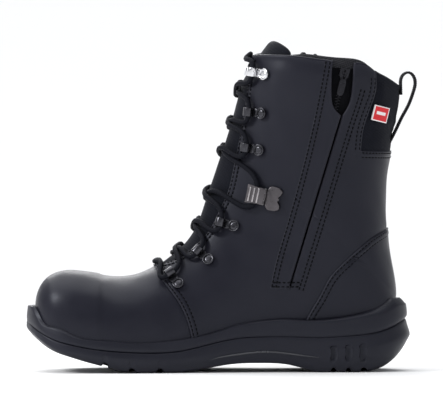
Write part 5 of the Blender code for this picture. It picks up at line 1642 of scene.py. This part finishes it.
def strand(side):
    """Half the lace, from the lowest eye to the top one, crossing the tongue after each eye."""
    points = []
    for index in range(EYES):
        points += eye_points(index, side)
        if index < len(LACE_CROSSINGS):
            over = index % 2 == 0
            start = place_of(points[-1], side)
            end = place_of(eye_points(index + 1, -side)[0], -side)
            inner = side < 0
            heights = OVER if over == inner else UNDER
            z = LACE_CROSSINGS[index] + CROSS_SHIFT[side]
            points += over_tongue(start, end, z, heights if inner else heights[::-1])
            side = -side
    return points


def tail(x, steps):
    """The lace's end, turned over the collar at x and hanging inside; from outside to inside."""
    top = float(COLLAR_AT(x))
    wall, out = on_surface(x, top - 2.0, 1)
    out.z = 0
    out.normalize()
    turn = [wall + out * (-3.5 + 6.4 * math.cos(a)) + Vector((0, 0, 1.0 + 3.9 * math.sin(a)))
            for a in np.radians([0, 45, 90, 135, 180])]
    return turn + [turn[-1] + Vector((0, 0, -12.0 * i)) - out * (2.6 * i) for i in range(1, steps + 1)]


def outside_points(places, height):
    """Points over the outer side at side-view places."""
    found = [on_surface(*place, 1) for place in places]
    return [point + out * height for point, out in found]


def lace_points():
    """The whole lace, from one end inside the collar to the other."""
    bar = over_tongue(eye_place(0, 1), eye_place(0, -1), 84.5, (3.0, 2.6, 3.0))
    inner, outer = strand(-1), strand(1)
    across = over_tongue(eye_place(6, -1) + [6, 0], eye_place(6, 1) + [6, 0.04], 252.0, (3.0, -1.8, 3.0))
    first, second = tail(76.0, 3)[::-1], tail(66.0, 3)
    lower = outside_points([(60.0, 242.5), (48.0, 243.5), (36.5, 243.8)], 3.2)
    upper = outside_points([(33.0, 249.5), (43.0, 250.0), (54.0, 249.0)], 3.2)
    return first + lower + outer[::-1] + bar + inner + across + upper + second


def rounded_path(points, step):
    """A smooth path close to a chain of points: corners rounded, then resampled evenly."""
    points = np.array([tuple(p) for p in points])
    reach = along(points)
    dense = Smooth(reach, points)(np.linspace(0, reach[-1], int(reach[-1] / 0.9)))
    for _ in range(4):
        middle = (dense[:-2] + dense[2:]) / 2
        dense[1:-1] = dense[1:-1] * 0.35 + middle * 0.65
    reach = along(dense)
    return part_way(dense, reach, np.linspace(0, reach[-1], int(reach[-1] / step)))


def make_lace():
    """A round braided cord: two sets of strands crossing round it."""
    path = rounded_path(lace_points(), 0.75)
    tangent = heading(path)
    side = np.cross(tangent[0], [0, 0, 1.0])
    sides, rings = 16, []
    for k, (p, t) in enumerate(zip(path, tangent)):
        side = side - t * side.dot(t)
        side /= np.linalg.norm(side)
        other = np.cross(t, side)
        ring = []
        for i in range(sides):
            a = 2 * math.pi * i / sides
            braid = math.sin(4 * a + k * 0.95) * math.sin(4 * a - k * 0.95)
            r = (LACE_RADIUS + 0.1) * (1.0 + 0.12 * braid)
            ring.append(p + (side * math.cos(a) + other * math.sin(a)) * r)
        rings.append(ring)
    sweep("lace_cord", rings, "lace", stands_for=("lace",), smooth=80.0)


# ================================================================ zip, pull loop and label


def zip_matrix(up=0.0):
    """From the zip's local millimetres to the scene, with the origin moved up the teeth."""
    bottom, x, y, z = ZIP
    return frame_matrix(bottom + y * up, x, y, z)


TOOTH_PITCH = 1.15


def pair_of_boxes(bm, inner, outer, low, high, matrix, bevel):
    """Two mirrored boxes between |x| = inner and |x| = outer; low and high are (y, z)."""
    for sign in (-1, 1):
        x = sorted((sign * inner, sign * outer))
        box(bm, (x[0], *low), (x[1], *high), matrix, bevel)


def make_zip():
    """Tapes, interlocking teeth, bottom stop, slider and puller."""
    matrix = zip_matrix()
    for word, low, high in (("front", -9.5, -0.2), ("rear", 0.2, 9.5)):
        bm = bmesh.new()
        box(bm, (low, -6.0, -4.9), (high, ZIP_LENGTH - 1.0, -4.3), matrix, 0.2, 2)
        add_piece(f"zip_tape_cloth_{word}", bm_mesh("zip_tape", bm), "tape", stands_for=(f"zip_tape_{word}",))
    bm = bmesh.new()
    for i in range(int((ZIP_LENGTH - 2.0) / TOOTH_PITCH)):
        y = -1.6 + TOOTH_PITCH * i
        low, high = (-2.5, 0.9) if i % 2 == 0 else (-0.9, 2.5)
        box(bm, (low, y - 0.42, -4.15), (high, y + 0.42, -3.1), matrix, 0.2, 1)
    add_piece("zip_teeth", bm_mesh("zip_teeth", bm), "dark", stands_for=("zip_chain",))
    bm = bmesh.new()
    box(bm, (-2.9, -5.0, -4.0), (2.9, -2.3, -2.9), matrix, 0.4)
    add_piece("zip_stop", bm_mesh("zip_stop", bm), "gunmetal", stands_for=("zip_bottom_stop",))
    here, half = zip_matrix(ZIP_LENGTH - SLIDER_REST), SLIDER_HALF
    bm = bmesh.new()
    shape = [(-2.6, -4.6), (2.6, -4.6), (3.5, -2.0), (half, 1.5), (half, 4.0), (3.2, 4.6), (1.2, 3.4),
             (0.0, 4.2), (-1.2, 3.4), (-3.2, 4.6), (-half, 4.0), (-half, 1.5), (-3.5, -2.0)]
    plate(bm, shape, -3.0, -2.4, here, 0.2)
    pair_of_boxes(bm, 3.1, half, (-3.6, -3.9), (3.8, -2.6), here, 0.25)
    box(bm, (-0.22, -2.7, -2.6), (0.22, 2.7, PULLER_PIN_OUT + 1.8), here, 0.15, 3)
    add_piece("zip_slider_body", bm_mesh("zip_slider_body", bm), "dark", body="zip_slider",
              stands_for=("zip_slider",))
    bm = bmesh.new()
    tab = [(-1.6, -4.4), (-2.4, -6.0), (-2.7, -9.0), (-2.7, -15.0), (-1.9, -17.6), (0.0, -18.4), (1.9, -17.6),
           (2.7, -15.0), (2.7, -9.0), (2.4, -6.0), (1.6, -4.4)]
    plate(bm, tab, PULLER_PIN_OUT - 0.2, PULLER_PIN_OUT + 0.6, here, 0.25)
    box(bm, (-1.5, -15.6, PULLER_PIN_OUT + 0.3), (1.5, -7.6, PULLER_PIN_OUT + 0.95), here, 0.3)
    pair_of_boxes(bm, 1.05, 2.0, (-5.4, PULLER_PIN_OUT - 0.5), (0.8, PULLER_PIN_OUT + 0.5), here, 0.25)
    box(bm, (-1.7, -0.6, PULLER_PIN_OUT - 0.6), (1.7, 0.6, PULLER_PIN_OUT + 0.6), here, 0.45)
    add_piece("zip_puller_tab", bm_mesh("zip_puller_tab", bm), "dark", body="zip_puller",
              stands_for=("zip_puller",))


def make_pull_loop():
    """Ribbed webbing, sewn down at the back and standing up in a loop."""
    path = smooth_path(PULL_PATH, 220)
    middle = float(swing(40.0))
    across = np.linspace(-1, 1, 29)
    rings = []
    for k, ((x, z), (tx, tz)) in enumerate(zip(path, heading(path))):
        rib = 0.13 * math.sin(k * 1.6)
        ring = []
        for sign, order in ((1, across), (-1, across[::-1])):
            for y in order:
                edge = math.sqrt(max(0.0, 1 - max(0.0, (abs(y) - 0.9) / 0.1) ** 2))
                cord = 0.10 * math.cos(y * 14 * math.pi)
                r = sign * ((PULL_THICK / 2 - 0.1 + rib * sign + cord) * (0.25 + 0.75 * edge))
                ring.append((x - tz * r, middle + y * PULL_WIDTH / 2, z + tx * r))
        rings.append(ring)
    sweep("pull_loop_webbing", rings, "webbing", stands_for=("pull_loop",), smooth=70.0)


def make_label():
    """A small woven label, red with a plain white border and one white bar."""
    count, half, turn = 41, LABEL_SIZE / 2, math.radians(LABEL_TILT)
    grid = np.linspace(-1, 1, count)
    a, b = np.meshgrid(grid, grid, indexing="ij")
    x = LABEL_CENTRE[0] + half * (a * math.cos(turn) - b * math.sin(turn))
    z = LABEL_CENTRE[1] + half * (a * math.sin(turn) + b * math.cos(turn))
    us = locate(np.stack([x.ravel(), z.ravel()], axis=1))
    base = surface(us[:, 0], -us[:, 1])
    out = normals(us[:, 0], -us[:, 1])
    edge = (1 - np.maximum(np.abs(a), np.abs(b))).ravel()
    lift = 1.7 + 0.25 * ease(edge / 0.12)
    white = ((edge < 0.11) | ((np.abs(b.ravel() - 0.1) < 0.2) & (np.abs(a.ravel()) < 0.6))).astype(float)
    top, low = base + out * lift[:, None], base + out * 0.9
    faces = []
    size = count * count
    for i in range(count - 1):
        for j in range(count - 1):
            k = i * count + j
            faces.append((k, k + 1, k + count + 1, k + count))
            faces.append((size + k, size + k + count, size + k + count + 1, size + k + 1))
    rim = [i * count for i in range(count)] + [(count - 1) * count + j for j in range(1, count)]
    rim += [i * count + count - 1 for i in range(count - 2, -1, -1)] + [j for j in range(count - 2, 0, -1)]
    for k, one in enumerate(rim):
        two = rim[(k + 1) % len(rim)]
        faces.append((one, two, size + two, size + one))
    points = scene_points(np.concatenate([top, low]))
    mesh = mesh_from("woven_label", points, faces, {"white": np.concatenate([white, white])})
    add_piece("woven_label", mesh, "label", stands_for=("side_label",))


# ================================================================ carried pieces, stage and camera


def dress_carried_nodes():
    """Better materials for the hidden pieces that keep their own shape."""
    kinds = {"shank": "steel", "puncture_plate": "steel", "toe_cap": "steel", "insole_board": "board",
             "heel_stiffener": "board"}
    for name, kind in kinds.items():
        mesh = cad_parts[name].data
        mesh.materials.clear()
        mesh.materials.append(LOOKS[kind])


def make_stage():
    """A pale floor that rises gently to a rim all round."""
    look = Finish("floor_look", (0.92, 0.92, 0.92), 0.9, specular=0.05)
    look.colour(look.blend(look.noise(0.6), (0.915, 0.915, 0.915), (0.925, 0.925, 0.925)))
    turns, rings = 64, [(6.0, 0.0), (8.0, 0.06), (10.0, 0.28), (12.0, 0.72), (16.0, 2.0), (24.0, 5.2)]
    bm = bmesh.new()
    loops = [[bm.verts.new((r * math.cos(a), r * math.sin(a), z))
              for a in np.linspace(0, 2 * math.pi, turns, endpoint=False)] for r, z in rings]
    bm.faces.new(loops[0])
    wrap(bm, loops[::-1])
    mesh = bpy.data.meshes.new("floor")
    bm.to_mesh(mesh)
    bm.free()
    mesh.shade_smooth()
    mesh.materials.append(look.made)
    floor = bpy.data.objects.new("floor", mesh)
    bpy.context.scene.collection.objects.link(floor)


def aim(thing, target):
    """Turns a lamp or camera so that it looks at target."""
    thing.rotation_euler = (Vector(target) - thing.location).to_track_quat("-Z", "Y").to_euler()


def add_light(name, place, size, power, target):
    lamp = bpy.data.lights.new(name, "AREA")
    lamp.shape, lamp.size, lamp.size_y, lamp.energy = "RECTANGLE", size[0], size[1], power
    made = bpy.data.objects.new(name, lamp)
    made.location = place
    bpy.context.scene.collection.objects.link(made)
    aim(made, target)


SKY_COLOUR, SKY_POWER = (0.93, 0.95, 1.0, 1.0), 0.40
SUN_POWER, SUN_SPREAD = 2.35, 70


def make_light():
    """An even sky, one broad light from above, and two small ones for the toe's highlight and outline."""
    world = bpy.data.worlds.new("studio")
    world.use_nodes = True
    sky = world.node_tree.nodes["Background"]
    sky.inputs["Color"].default_value = SKY_COLOUR
    sky.inputs["Strength"].default_value = SKY_POWER
    bpy.context.scene.world = world
    sun = bpy.data.lights.new("soft_top", "SUN")
    sun.energy, sun.angle = SUN_POWER, math.radians(SUN_SPREAD)
    made = bpy.data.objects.new("soft_top", sun)
    made.rotation_euler = (math.radians(-14), math.radians(-8), 0)
    bpy.context.scene.collection.objects.link(made)
    add_light("toe_softbox", (-0.85, -0.38, 0.74), (0.24, 0.24), 6.5, (-0.1, 0, 0.06))
    add_light("toe_rim", (-0.15, 0.75, 0.45), (0.6, 0.25), 2.6, (-0.09, 0, 0.07))
    bpy.context.scene.view_settings.view_transform = "Standard"


# Angles in degrees; the distance, the width seen at the target and the target itself in metres.
CAMERA_AZIMUTH, CAMERA_ELEVATION, CAMERA_DISTANCE = 1.5, 1.3, 5.0
SENSOR, WIDTH_SEEN, CAMERA_TARGET = 36.0, 0.3522, (0.0, 0.0, 0.1318)


def make_camera():
    azimuth, elevation = math.radians(CAMERA_AZIMUTH), math.radians(CAMERA_ELEVATION)
    lens = bpy.data.cameras.new("camera")
    lens.sensor_width = SENSOR
    lens.lens = SENSOR * CAMERA_DISTANCE / WIDTH_SEEN
    camera = bpy.data.objects.new("camera", lens)
    level = math.cos(elevation)
    away = Vector((-math.sin(azimuth) * level, -math.cos(azimuth) * level, math.sin(elevation)))
    camera.location = Vector(CAMERA_TARGET) + away * CAMERA_DISTANCE
    bpy.context.scene.collection.objects.link(camera)
    aim(camera, CAMERA_TARGET)
    bpy.context.scene.camera = camera


make_camera()
make_vamp()
make_quarters()
make_flap()
make_counter()
make_flex()
make_seams()
make_collar()
make_lining()
make_tongue()
make_pads()
make_footbed()
make_outsole()
make_midsole()
make_arch_ridges()
make_loops()
make_locks()
make_lace()
make_zip()
make_pull_loop()
make_label()
dress_carried_nodes()
make_stage()
make_light()
